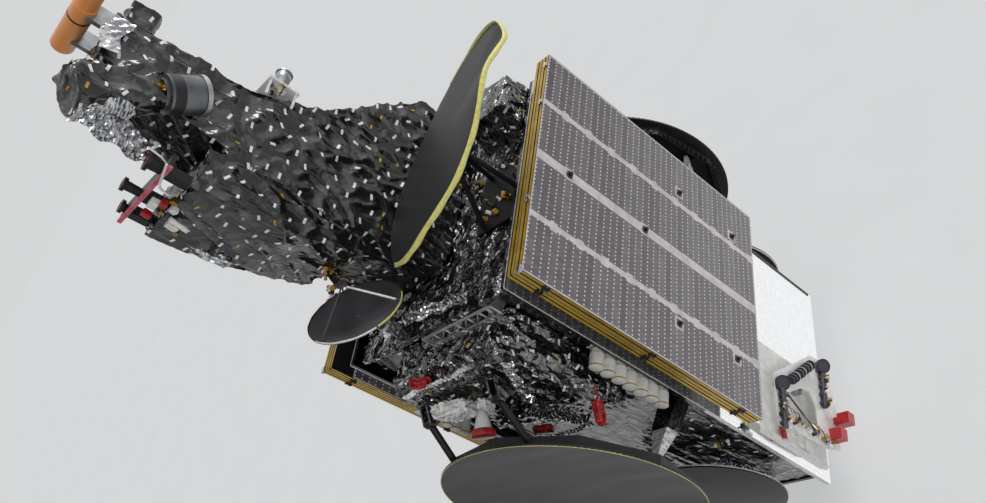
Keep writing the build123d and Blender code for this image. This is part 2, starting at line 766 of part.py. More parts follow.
# Oval reflector that stands on the Earth deck
oc = Vector(*oval_centre)
ol = Vector(*oval_long).normalized()
normal = Vector(*oval_normal).normalized()
ol = (ol - normal * ol.dot(normal)).normalized()
oval_plane = Plane(origin=oc, x_dir=ol, z_dir=normal)
oval_ball = (oval_half_long**2 + oval_bulge**2) / (2 * oval_bulge)
with BuildPart() as oval_reflector:
    with BuildSketch(oval_plane.offset(-60)):
        Ellipse(oval_half_long, oval_half_wide)
    extrude(amount=220)
    ball = oc + normal * (oval_bulge - oval_ball)
    with Locations((ball.X, ball.Y, ball.Z)):
        Sphere(oval_ball - oval_shell, mode=Mode.SUBTRACT)
        Sphere(oval_ball, mode=Mode.INTERSECT)
save(oval_reflector.part, "oval_reflector")
foot = Vector(700, -20, deck_high)
hub = oc + normal * (oval_bulge - oval_shell - 4)
with BuildPart() as oval_stand:
    for dx, dy in [(-150, -260), (-150, 260), (190, 0)]:
        add(rod((foot.X + dx, foot.Y + dy, deck_high + 15), (hub.X, hub.Y, hub.Z), 22))
    with BuildSketch(Plane.XY.offset(deck_high)):
        with Locations((foot.X, foot.Y)):
            RectangleRounded(480, 620, 40)
    extrude(amount=16)
oval_outer = oc + normal * (oval_bulge - oval_ball)
with BuildPart() as oval_trim:
    with Locations((oval_outer.X, oval_outer.Y, oval_outer.Z)):
        Sphere(oval_ball - oval_shell - 0.4)
save(oval_stand.part & oval_trim.part, "oval_stand")

# Steerable dish and its two-axis mount
sc = Vector(*steer_centre)
sn = Vector(*steer_normal).normalized()
steer_plane = Plane(origin=sc, x_dir=Vector(0, 1, 0).cross(sn), z_dir=sn)
steer_ball = (steer_r**2 + steer_depth**2) / (2 * steer_depth)
steer_centre_ball = sc + sn * (steer_ball - steer_depth)
pivot = Vector(steer_base[0], steer_base[1], steer_axis_z)
with BuildPart() as steer_dish:
    with BuildSketch(steer_plane.offset(-steer_depth - 12)):
        Circle(steer_r)
    extrude(amount=steer_depth + 12)
    with Locations((steer_centre_ball.X, steer_centre_ball.Y, steer_centre_ball.Z)):
        Sphere(steer_ball, mode=Mode.SUBTRACT)
        Sphere(steer_ball + 12, mode=Mode.INTERSECT)
    back_mid = sc - sn * (steer_depth + 6)
    add(rod((back_mid.X, back_mid.Y, back_mid.Z), (pivot.X, pivot.Y, pivot.Z), 26))
    with BuildSketch(Plane.YZ.offset(pivot.X - 40)):
        with Locations((pivot.Y, pivot.Z)):
            Circle(34)
    extrude(amount=80)
    with BuildSketch(Plane.YZ.offset(pivot.X - 66)):
        with Locations((pivot.Y, pivot.Z)):
            Circle(8)
    extrude(amount=132)
    # feed on three struts over the dish
    focus = sc + sn * 250
    for angle in (10, 130, 250):
        edge = sc + (steer_plane.x_dir * cos(radians(angle)) + steer_plane.y_dir * sin(radians(angle))) * (steer_r - 8)
        add(rod((edge.X, edge.Y, edge.Z), (focus.X, focus.Y, focus.Z), 7))
    with BuildSketch(Plane(origin=focus, z_dir=sn)):
        Circle(46)
    extrude(amount=26)
save(steer_dish.part, "steerable_dish")
with BuildPart() as steer_yoke:
    with BuildSketch(Plane.XY.offset(deck_high + 200)):
        with Locations((pivot.X, pivot.Y)):
            Circle(70)
    extrude(amount=30)
    for low in (-66, 42):
        with BuildSketch(Plane.YZ.offset(pivot.X + low)):
            with Locations((pivot.Y, (pivot.Z + deck_high + 215) / 2)):
                Rectangle(70, pivot.Z - deck_high - 215)
            with Locations((pivot.Y, pivot.Z)):
                Circle(35)
            with Locations((pivot.Y, pivot.Z)):
                Circle(8.3, mode=Mode.SUBTRACT)
        extrude(amount=24)
save(steer_yoke.part, "steerable_yoke")
with BuildPart() as steer_base_part:
    with BuildSketch(Plane.XY.offset(deck_high)):
        with Locations((pivot.X, pivot.Y)):
            RectangleRounded(200, 150, 20)
    extrude(amount=16)
    with BuildSketch(Plane.XY.offset(deck_high)):
        with Locations((pivot.X, pivot.Y)):
            Circle(58)
    extrude(amount=199.7)
save(steer_base_part.part, "steerable_base")

# Electric thruster modules
pa = Vector(*pod_axis).normalized()
pod_base_y = pod_y - 190
pod_pivot = Vector(radiator_face + pod_reach, pod_y, pod_z)
with BuildPart() as pod_base:
    with BuildSketch(Plane.YZ.offset(radiator_face)):
        with Locations((pod_base_y, pod_z - 30)):
            RectangleRounded(940, 1080, 30)
    extrude(amount=14)
    with BuildSketch(Plane.YZ.offset(radiator_face + 14)):
        with Locations((pod_y, pod_z)):
            RectangleRounded(230, 230, 20)
    extrude(amount=pod_reach - 14 - 65)
    # feed boxes and a stiffening rail along the plate's west edge
    with BuildSketch(Plane.YZ.offset(radiator_face + 14)):
        for box_z in (pod_z - 170, pod_z - 50, pod_z + 190):
            with Locations((pod_base_y - 380, box_z)):
                RectangleRounded(110, 84, 8)
    extrude(amount=46)
    with BuildSketch(Plane.YZ.offset(radiator_face + 14)):
        with Locations((pod_base_y - 452, pod_z - 30)):
            Rectangle(18, 1000)
    extrude(amount=30)

with BuildPart() as pod_gimbal:
    with BuildSketch(Plane.YZ.offset(pod_pivot.X - 64.5)):
        with Locations((pod_y, pod_z)):
            Circle(112)
    extrude(amount=18)
    for low in (-105, 81):
        with BuildSketch(Plane.XZ.offset(-(pod_y + low + 24))):
            with Locations((pod_pivot.X - 25, pod_z)):
                Rectangle(50, 64)
            with Locations((pod_pivot.X, pod_z)):
                Circle(32)
            with Locations((pod_pivot.X, pod_z)):
                Circle(10.3, mode=Mode.SUBTRACT)
        extrude(amount=24)

plate_x = pod_pivot.X + 50
with BuildPart() as pod_head:
    add(rod((pod_pivot.X, pod_y - 106, pod_z), (pod_pivot.X, pod_y + 106, pod_z), 10))
    add(rod((pod_pivot.X, pod_y - 78, pod_z), (pod_pivot.X, pod_y + 78, pod_z), 30))
    add(rod((pod_pivot.X, pod_y, pod_z), (plate_x + 4, pod_y, pod_z), 34))
    # carrier plate with a wide window in its west half
    with BuildSketch(Plane.YZ.offset(plate_x)):
        with BuildLine():
            Polyline(
                (-860, 1450), (-430, 1470), (-180, 1120), (60, 800), (80, 560),
                (-140, 400), (-560, 380), (-800, 400), (-870, 620), (-890, 1100), close=True,
            )
        make_face()
        with BuildLine():
            Polyline((-770, 1330), (-600, 1340), (-400, 1020), (-370, 880), (-480, 780), (-760, 760), close=True)
        make_face(mode=Mode.SUBTRACT)
    extrude(amount=12)
    add(rod((plate_x + 18, -540, 1330), (plate_x + 18, -790, 790), 9))
    for spot in heads:
        seat = Vector(spot["x"], spot["y"], spot["z"])
        back_of = seat - pa * thruster_len
        with BuildSketch(Plane(origin=back_of, z_dir=pa)):
            Circle(thruster_r - 12)
        extrude(amount=thruster_len)
        with BuildSketch(Plane(origin=seat - pa * 42, z_dir=pa)):
            Circle(thruster_r)
        extrude(amount=42)
        with Locations((plate_x + 12 + 16, spot["y"] - 8, spot["z"] - 8)):
            Box(40, 96, 96)
        # wrapped flow-control column below each thruster
        add(rod((plate_x + 44, spot["y"] - 60, spot["z"] - 30), (plate_x + 44, spot["y"] - 430, spot["z"] - 20), 30))
        for step in (0.15, 0.4, 0.65, 0.9):
            with Locations((plate_x + 26, spot["y"] - 60 - 370 * step, spot["z"] - 30 + 10 * step)):
                Box(50, 26, 84)
    # ribbed cable drum between the thrusters
    start = Vector(plate_x + 58, heads[0]["y"] + 90, heads[0]["z"] - 150)
    finish = Vector(plate_x + 58, heads[1]["y"] - 60, heads[1]["z"] + 190)
    way = finish - start
    add(rod((start.X, start.Y, start.Z), (finish.X, finish.Y, finish.Z), 36))
    for step in range(7):
        middle = start + way * ((step + 0.5) / 7)
        with BuildSketch(Plane(origin=middle, z_dir=way)):
            Circle(50)
        extrude(amount=20)
    for share in (0.1, 0.9):
        seat = start + way * share
        with Locations((plate_x + 26, seat.Y, seat.Z)):
            Box(52, 60, 60)

with BuildPart() as pod_covers:
    for spot in covers:
        with BuildSketch(Plane.YZ.offset(plate_x + 12)):
            with Locations((spot["y"], spot["z"])):
                RectangleRounded(cover_size * 0.6, cover_size * 0.6, 8)
        extrude(amount=spot["x"])
        with BuildSketch(Plane.YZ.offset(plate_x + spot["x"])):
            with Locations((spot["y"], spot["z"])):
                RectangleRounded(cover_size, cover_size, 10)
        extrude(amount=cover_size)

for solid, label in [
    (pod_base.part, "pod_base"),
    (pod_gimbal.part, "pod_gimbal"),
    (pod_head.part, "thrusters"),
    (pod_covers.part, "pod_covers"),
]:
    save(solid, f"north_{label}")
    save(mirror(solid, about=Plane.YZ), f"south_{label}")

# Ladder truss on the west edge of the Earth deck
truss = {"x0": 150.0, "x1": 935.0, "y": -1235.0, "z0": deck_high + 20, "z1": deck_high + 130, "bays": 6}
with BuildPart() as west_truss:
    for level in (truss["z0"], truss["z1"]):
        add(rod((truss["x0"], truss["y"], level), (truss["x1"], truss["y"], level), 12))
    bay = (truss["x1"] - truss["x0"]) / truss["bays"]
    for step in range(truss["bays"] + 1):
        place = truss["x0"] + step * bay
        add(rod((place, truss["y"], truss["z0"]), (place, truss["y"], truss["z1"]), 8))
    for step in range(truss["bays"]):
        place = truss["x0"] + step * bay
        add(rod((place, truss["y"], truss["z0"]), (place + bay, truss["y"], truss["z1"]), 6))
    for place in (truss["x0"] + 40, truss["x1"] - 40):
        with BuildSketch(Plane.YZ.offset(place - 12)):
            with BuildLine():
                Polyline((-deck_half_y, bus_high + 10), (-deck_half_y, deck_high - 10), (truss["y"] + 8, truss["z1"]),
                         (truss["y"] - 8, truss["z1"]), (truss["y"] - 8, truss["z0"] - 10), close=True)
            make_face()
        extrude(amount=24)
save(west_truss.part, "west_truss")

# White conical feed horn on the west module: flat flange, then the tilted cone
side_horn_foot = (20.0, module_west_y, deck_high - 618)
side_horn_tilt = 17.0
with BuildPart() as side_cone:
    with BuildSketch(Plane.XZ):
        with BuildLine():
            Polyline((0, 12), (34, 12), (34, 50), (86, 236), (94, 236), (94, 254), (0, 254), close=True)
        make_face()
    revolve(axis=Axis.Z)
with BuildPart() as west_side_horn:
    with BuildSketch(Plane.XZ.offset(-module_west_y)):
        with Locations((side_horn_foot[0], side_horn_foot[2])):
            Circle(70)
    extrude(amount=14)
    add(side_cone.part.moved(Location(side_horn_foot, (90 + side_horn_tilt, 0, 0))))
save(west_side_horn.part, "west_side_horn")
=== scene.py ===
# A stowed communications satellite standing on its launch ring
import bpy
import math
import random
from mathutils import Matrix, Vector


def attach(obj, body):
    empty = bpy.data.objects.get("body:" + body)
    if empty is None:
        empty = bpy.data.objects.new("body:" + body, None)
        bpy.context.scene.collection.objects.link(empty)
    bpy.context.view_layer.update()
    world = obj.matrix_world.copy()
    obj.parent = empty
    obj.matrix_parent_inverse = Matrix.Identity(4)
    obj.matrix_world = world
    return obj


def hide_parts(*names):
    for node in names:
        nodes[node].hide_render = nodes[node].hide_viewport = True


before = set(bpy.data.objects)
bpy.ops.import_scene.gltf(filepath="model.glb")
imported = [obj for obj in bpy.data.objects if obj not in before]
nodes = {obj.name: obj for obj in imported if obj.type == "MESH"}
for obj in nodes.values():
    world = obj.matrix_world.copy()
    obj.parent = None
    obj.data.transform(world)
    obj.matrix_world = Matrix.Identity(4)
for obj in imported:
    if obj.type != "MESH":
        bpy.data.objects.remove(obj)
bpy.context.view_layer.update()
scene = bpy.context.scene
scene.view_settings.view_transform = "Standard"
upright = Matrix.Identity(4)
sides = {"north": 1, "south": -1}    # each side's sign on X
print("stage: frame loaded,", len(nodes), "CAD nodes")


# small helpers for modelling
def clearSelection():
    bpy.ops.object.select_all(action="DESELECT")


def activate(obj):
    clearSelection()
    obj.select_set(True)
    bpy.context.view_layer.objects.active = obj


def applyModifiers(obj):
    activate(obj)
    for modifier in list(obj.modifiers):
        bpy.ops.object.modifier_apply(modifier=modifier.name)


def applyPlace(obj):
    activate(obj)
    bpy.ops.object.transform_apply(location=True, rotation=True, scale=True)
    return obj


def mergeDoubles(obj, gap=0.00005):
    activate(obj)
    bpy.ops.object.mode_set(mode="EDIT")
    bpy.ops.mesh.select_all(action="SELECT")
    bpy.ops.mesh.remove_doubles(threshold=gap)
    bpy.ops.object.mode_set(mode="OBJECT")
    return obj


def remesh(obj, voxel):
    grid = obj.modifiers.new("grid", "REMESH")
    grid.mode = "VOXEL"
    grid.voxel_size = voxel
    applyModifiers(obj)


def thicken(obj, thickness, offset):
    wall = obj.modifiers.new("wall", "SOLIDIFY")
    wall.thickness = thickness
    wall.offset = offset
    applyModifiers(obj)


def smoothBy(obj, degrees=35):
    activate(obj)
    bpy.ops.object.shade_smooth_by_angle(angle=math.radians(degrees))
    return obj


def joinPieces(pieces, name):
    clearSelection()
    for piece in pieces:
        piece.select_set(True)
    bpy.context.view_layer.objects.active = pieces[0]
    if len(pieces) > 1:
        bpy.ops.object.join()
    made = bpy.context.view_layer.objects.active
    made.name = name
    return applyPlace(made)


def finishPiece(obj, name, body, material=None, stands=()):
    applyPlace(obj)
    obj.name = name
    obj.data.name = name
    if material is not None:
        obj.data.materials.clear()
        obj.data.materials.append(material)
    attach(obj, body)
    if stands:
        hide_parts(*stands)
    return obj


def placeOn(position, direction, roll=0.0):    # a place whose own z runs along direction
    turn = Vector(direction).to_track_quat("Z", "Y").to_matrix().to_4x4()
    return Matrix.Translation(Vector(position)) @ turn @ Matrix.Rotation(roll, 4, "Z")


def placeOf(middle, across, up, out):    # a place from its three directions
    return Matrix([[across[k], up[k], out[k], middle[k]] for k in range(3)] + [[0, 0, 0, 1]])


def addBlock(size, place, bevel=0):
    clearSelection()
    bpy.ops.mesh.primitive_cube_add(size=1)
    obj = bpy.context.object
    obj.scale = size
    applyPlace(obj)
    if bevel:
        rounding = obj.modifiers.new("rounding", "BEVEL")
        rounding.width = bevel
        rounding.segments = 2
        applyModifiers(obj)
    obj.matrix_world = place
    return applyPlace(obj)


def addTurned(profile, place, steps=32, closed=False):
    # profile is (radius, height) pairs, spun round the place's own z
    clearSelection()
    bpy.ops.mesh.primitive_circle_add(vertices=len(profile), radius=1, fill_type="NOTHING")
    obj = bpy.context.object
    for vertex, (radius, height) in zip(obj.data.vertices, profile):
        vertex.co = (radius, 0, height)
    bpy.ops.object.mode_set(mode="EDIT")
    if not closed:
        bpy.ops.mesh.select_all(action="DESELECT")
        bpy.ops.object.mode_set(mode="OBJECT")
        last = len(profile) - 1
        for edge in obj.data.edges:
            edge.select = set(edge.vertices) == {0, last}
        bpy.ops.object.mode_set(mode="EDIT")
        bpy.ops.mesh.select_mode(type="EDGE")
        bpy.ops.mesh.delete(type="EDGE")
        bpy.ops.mesh.select_mode(type="VERT")
    bpy.ops.mesh.select_all(action="SELECT")
    bpy.ops.mesh.spin(steps=steps, angle=2 * math.pi, center=(0, 0, 0), axis=(0, 0, 1))
    bpy.ops.mesh.select_all(action="SELECT")
    bpy.ops.mesh.remove_doubles(threshold=0.00005)
    bpy.ops.mesh.normals_make_consistent(inside=False)
    bpy.ops.object.mode_set(mode="OBJECT")
    obj.matrix_world = place
    applyPlace(obj)
    return smoothBy(obj, 40)


def addRod(points, radius, sides=8, smooth=False):
    # a bent rod or wire through these points, as a mesh
    curve = bpy.data.curves.new("rod", "CURVE")
    curve.dimensions = "3D"
    curve.bevel_depth = radius
    curve.bevel_resolution = max(0, sides // 4 - 1)
    curve.use_fill_caps = True
    line = curve.splines.new("NURBS" if smooth else "POLY")
    line.points.add(len(points) - 1)
    for point, spot in zip(line.points, points):
        point.co = (*spot, 1)
    if smooth:
        line.order_u = 3
        line.use_endpoint_u = True
        line.resolution_u = 6
    obj = bpy.data.objects.new("rod", curve)
    scene.collection.objects.link(obj)
    activate(obj)
    bpy.ops.object.convert(target="MESH")
    return smoothBy(bpy.context.object, 50)


def copyAt(model, place):    # a copy with its own mesh
    copy = model.copy()
    copy.data = model.data.copy()
    scene.collection.objects.link(copy)
    copy.matrix_world = place
    return copy


def copiesOf(model, places, name):
    copies = [copyAt(model, place) for place in places]
    bpy.data.objects.remove(model)
    return joinPieces(copies, name)


def crumple(obj, layers, seed):
    # layers: (texture kind, settings, size in m, push in m, stretch, middle)
    for k, (kind, settings, size, push, stretch, middle) in enumerate(layers):
        texture = bpy.data.textures.new(f"crumple{k}", kind)
        for key, value in settings.items():
            setattr(texture, key, value)
        texture.noise_scale = 1.0
        guide = bpy.data.objects.new("guide", None)
        scene.collection.objects.link(guide)
        guide.location = (seed * 1.7 + k, seed * 0.9, k * 0.7)
        guide.rotation_euler = (0.25, 0.35 + 0.2 * k, 0.5)
        guide.scale = [size * s for s in stretch]
        bpy.context.view_layer.update()
        pushing = obj.modifiers.new(f"crumple{k}", "DISPLACE")
        pushing.texture = texture
        pushing.texture_coords = "OBJECT"
        pushing.texture_coords_object = guide
        pushing.strength = push
        pushing.mid_level = middle
        activate(obj)
        bpy.ops.object.modifier_apply(modifier=pushing.name)
        bpy.data.objects.remove(guide)
    return obj


# materials, with every pattern's scale worked out from a size in mm
def toLinear(hexColour):
    out = []
    for k in (1, 3, 5):
        value = int(hexColour[k:k + 2], 16) / 255
        out.append(value / 12.92 if value <= 0.04045 else ((value + 0.055) / 1.055) ** 2.4)
    return (*out, 1.0)


def addNode(tree, kind, settings=None, links=None, into=None):
    # links name the sockets fed by (node, output), or by a node alone for its first output
    # into names the sockets that this node feeds, in the same way
    node = tree.nodes.new("ShaderNode" + kind)
    for key, value in (settings or {}).items():
        if isinstance(key, str) and hasattr(node, key):
            setattr(node, key, value)
        else:
            node.inputs[key].default_value = value
    for key, source in (links or {}).items():
        if source is not None:
            source, output = source if isinstance(source, tuple) else (source, 0)
            tree.links.new(source.outputs[output], node.inputs[key])
    for key, target in (into or {}).items():
        target, output = target if isinstance(target, tuple) else (target, 0)
        tree.links.new(node.outputs[output], target.inputs[key])
    return node


def newMaterial(name, finish):
    material = bpy.data.materials.new(name)
    material.use_nodes = True
    tree = material.node_tree
    shader = tree.nodes["Principled BSDF"]
    for key, value in finish.items():
        shader.inputs[key].default_value = value
    return material, tree, shader, (addNode(tree, "TexCoord"), "Object")


def mottle(tree, place, shader, dark, light, sizeMm, detail=3.0, contrast=(0.3, 0.7), stretch=None):
    # two tones of one colour in soft patches of a real size
    if stretch:
        place = addNode(tree, "Mapping", {"Scale": stretch}, {"Vector": place})
    patches = addNode(tree, "TexNoise", {"Scale": 1000 / sizeMm, "Detail": detail}, {"Vector": place})
    ramp = addNode(tree, "ValToRGB", links={"Fac": patches}, into={"Base Color": shader}).color_ramp
    ramp.elements[0].position, ramp.elements[1].position = contrast
    ramp.elements[0].color, ramp.elements[1].color = toLinear(dark), toLinear(light)
    return patches


def wear(tree, shader, source, rough=None, relief=None, under=None):
    # a pattern makes the surface duller in places, from low to high, and stands out of it by strength and mm
    if rough:
        addNode(tree, "MapRange", {"To Min": rough[0], "To Max": rough[1]}, {"Value": source}, {"Roughness": shader})
    if relief:
        return addNode(tree, "Bump", {"Strength": relief[0], "Distance": relief[1] / 1000},
                       {"Height": source, "Normal": under}, {"Normal": shader})


def filmMaterial(name, dark, light, metallic, roughness, ior=1.5, creaseMm=50, depth=1.0, pleats=1.0):
    # polyimide film, crumpled by hand: flat facets between sharp creases catch the light one by one
    material, tree, shader, place = newMaterial(name, {"Metallic": metallic, "IOR": ior})
    mottle(tree, place, shader, dark, light, 160, 4.0)
    sway = addNode(tree, "TexNoise", {"Scale": 1000 / 140, "Detail": 2.0}, {"Vector": place})
    swayed = addNode(tree, "VectorMath", {"operation": "MULTIPLY_ADD", 1: (0.09, 0.09, 0.09)},
                     {0: (sway, "Color"), 2: place})
    bump = None
    # three sizes of flat-sided creases, each turned another way
    for share, high, turn in ((2.4, 0.3, (0.5, 0.2, 0.9)), (1.1, 0.26, (0.9, 0.6, 0.3)), (0.5, 0.1, (0.2, 0.9, 0.6))):
        size = creaseMm * share
        turned = addNode(tree, "Mapping", {"Rotation": turn, "Scale": (1, 0.8, 0.62)}, {"Vector": swayed})
        facets = addNode(tree, "TexVoronoi", {"distance": "MANHATTAN", "Scale": 1000 / size}, {"Vector": turned})
        bump = wear(tree, shader, facets, relief=(depth, high * size), under=bump)
    # two runs of long pleats over them
    for turn, size in (((0.35, 0.5, 0.2), 105), ((0.2, -0.55, 0.8), 60)):
        run = addNode(tree, "Mapping", {"Rotation": turn, "Scale": (1, 1, 0.17)}, {"Vector": swayed})
        pleat = addNode(tree, "TexNoise", {"noise_type": "RIDGED_MULTIFRACTAL", "Scale": 1000 / size, "Detail": 1.0},
                        {"Vector": run})
        bump = wear(tree, shader, pleat, relief=(pleats, size * 0.1), under=bump)
    patches = addNode(tree, "TexNoise", {"Scale": 1000 / 90, "Detail": 2.0}, {"Vector": place})
    wear(tree, shader, patches, rough=roughness)
    return material


# a taut skin of long soft folds with satin gleams
satinFilm = filmMaterial("carbonPolyimideFilmDraped", "#040405", "#0D0D0F", 0.0, (0.12, 0.3), 1.85, 85, 0.15, 1.5)
# the same film crushed hard, so black facets flash white beside each other
blackFilm = filmMaterial("carbonPolyimideFilmCrumpled", "#050506", "#101012", 0.0, (0.05, 0.2), 2.6, 80, 0.9)
# wrapped tight round small parts, with finer creases
wrapBlack = filmMaterial("carbonPolyimideFilmWrapped", "#08080A", "#18181A", 0.0, (0.12, 0.32), 2.3, 40, 0.8, 0.4)
# bare metal-coated film: bright and dark flecks, like kitchen foil
silverFilm = filmMaterial("aluminisedPolyimideFilmCrumpled", "#C9CBCE", "#EFEFF0", 1.0, (0.14, 0.34))
# the same film in even pleats, calmer and a little greyer
pleatedSilver = filmMaterial("aluminisedPolyimideFilmPleated", "#A9ABAE", "#EDEEEF", 1.0, (0.14, 0.3), 1.5, 70, 0.25,
                             0.5)
# a dull white cloth face that still creases like film
whiteFoil = filmMaterial("glassClothLaminateCrumpled", "#D9D9D7", "#F6F6F4", 0.1, (0.35, 0.6))
# the metal shows through amber plastic as warm gold
goldFilm = filmMaterial("amberPolyimideFilmTaped", "#8A6416", "#D9A93C", 0.85, (0.2, 0.42), 1.5, 50, 0.6)


def tapeMaterial(name, dark, light, roughness, metallic=0.0):
    # pressure-sensitive tape: fine cloth weave under a dull face, with finger marks
    material, tree, shader, place = newMaterial(name, {"Roughness": roughness, "Metallic": metallic})
    mottle(tree, place, shader, dark, light, 25, 3.0, (0.25, 0.6))
    weave = addNode(tree, "TexWave", {"Scale": 1000 / 12, "Distortion": 0.6}, {"Vector": place})
    wear(tree, shader, (weave, "Fac"), relief=(0.15, 0.4))    # drawn at 12 mm, the real threads are 0.5 mm
    return material


whiteTape = tapeMaterial("glassClothTapeWoven", "#D5D5D2", "#F4F4F2", 0.45)    # small matt white tabs
amberTape = tapeMaterial("polyimideTapeSlit", "#8F661A", "#E0B647", 0.3, 0.35)    # glossy amber over metal
yellowTape = tapeMaterial("vinylMaskingTapeRolled", "#C9C257", "#E3DD8A", 0.5)    # pale, dull and a little creased


def paintMaterial(name, dark, light, roughness, sizeMm=60, coat=0.0, metallic=0.0):
    # sprayed paint or a moulded skin: even colour, slight orange peel, dull where it was handled
    material, tree, shader, place = newMaterial(name, {"Coat Weight": coat, "Metallic": metallic})
    patches = mottle(tree, place, shader, dark, light, sizeMm, 4.0)
    wear(tree, shader, patches, rough=(roughness - 0.06, roughness + 0.1))
    peel = addNode(tree, "TexNoise", {"Scale": 1000 / 2.5, "Detail": 2.0}, {"Vector": place})
    wear(tree, shader, peel, relief=(0.12, 0.3))
    return material


whitePaint = paintMaterial("silicateThermalPaintSprayed", "#D2D2CE", "#ECECEA", 0.55)    # chalky, no shine
redCover = paintMaterial("glassNylonCoverMoulded", "#8E1216", "#C2262B", 0.42, coat=0.2)    # deep red, soft shine
pinkBar = paintMaterial("safetyPaintBarSprayed", "#B8485A", "#E07A88", 0.45)    # red bleached towards pink
maroonCap = paintMaterial("phenolicCapMoulded", "#4A1B22", "#6E2A33", 0.4)    # dark wine, smooth edges
orangeCover = paintMaterial("polyurethaneCoverSprayed", "#F39A4C", "#F8A75E", 0.4, 220, 0.5)    # even and glossy
blackPaint = paintMaterial("blackPolyurethanePaintSprayed", "#101011", "#26262A", 0.42)    # flat black, grey edges
greyHorn = paintMaterial("alodineAluminiumSpun", "#55565A", "#7D7E81", 0.3, 180, metallic=0.75)    # dull grey metal
bandFilm = paintMaterial("polyimideBandBonded", "#B9AFB2", "#D8CFD1", 0.45, 90)    # pinkish grey between the cells


def metalMaterial(name, dark, light, roughness):
    # bare machined metal: fine tool lines stretch the highlights one way
    material, tree, shader, place = newMaterial(name, {"Metallic": 1.0})
    mottle(tree, place, shader, dark, light, 80)
    spread = addNode(tree, "Mapping", {"Scale": [1000 / mm for mm in (1.2, 1.2, 30)]}, {"Vector": place})
    lines = addNode(tree, "TexNoise", {"Scale": 1.0, "Detail": 2.0}, {"Vector": spread})
    wear(tree, shader, lines, (roughness - 0.08, roughness + 0.12), (0.1, 0.2))
    return material


bareAluminium = metalMaterial("aluminiumAlloyMachined", "#9FA1A4", "#C9CACC", 0.34)    # cool, clean and bright
brass = metalMaterial("leadedBrassTurned", "#9A7230", "#CFA556", 0.3)    # warm glints among the fittings
nozzleAlloy = metalMaterial("niobiumAlloySpun", "#3B3836", "#6E665E", 0.36)    # heat-dulled brownish grey


def laminateMaterial(name, dark, light):
    # carbon fibre and resin, cured in a mould: a faint twill, soft streaks of wiped resin
    material, tree, shader, place = newMaterial(name, {"IOR": 1.42})
    patches = mottle(tree, place, shader, dark, light, 240, 5.0, (0.25, 0.75), (0.35, 0.35, 1.6))
    twill = addNode(tree, "TexWave", {"Scale": 1000 / 9, "Distortion": 0.3, "bands_direction": "DIAGONAL"},
                    {"Vector": place})    # 2 mm tows drawn at 9 mm so that they show
    wear(tree, shader, (twill, "Fac"), relief=(0.06, 0.3))
    wear(tree, shader, patches, rough=(0.4, 0.6))
    return material


laminate = laminateMaterial("carbonLaminateMoulded", "#0E0E10", "#1C1C1F")
laminateWorn = laminateMaterial("carbonLaminateRubbed", "#37373A", "#57575A")    # greyer where it was wiped dry


def tilesApart(tree, place, wide, long):
    # how far a point is from the nearest joint across and along a grid of tiles
    apart = addNode(tree, "SeparateXYZ", links={"Vector": place})
    across = addNode(tree, "Math", {"operation": "PINGPONG", 1: wide / 2}, {0: (apart, "Y")})
    along = addNode(tree, "Math", {"operation": "PINGPONG", 1: long / 2}, {0: (apart, "Z")})
    nearest = addNode(tree, "Math", {"operation": "MINIMUM"}, {0: across, 1: along})
    return apart, across, along, nearest


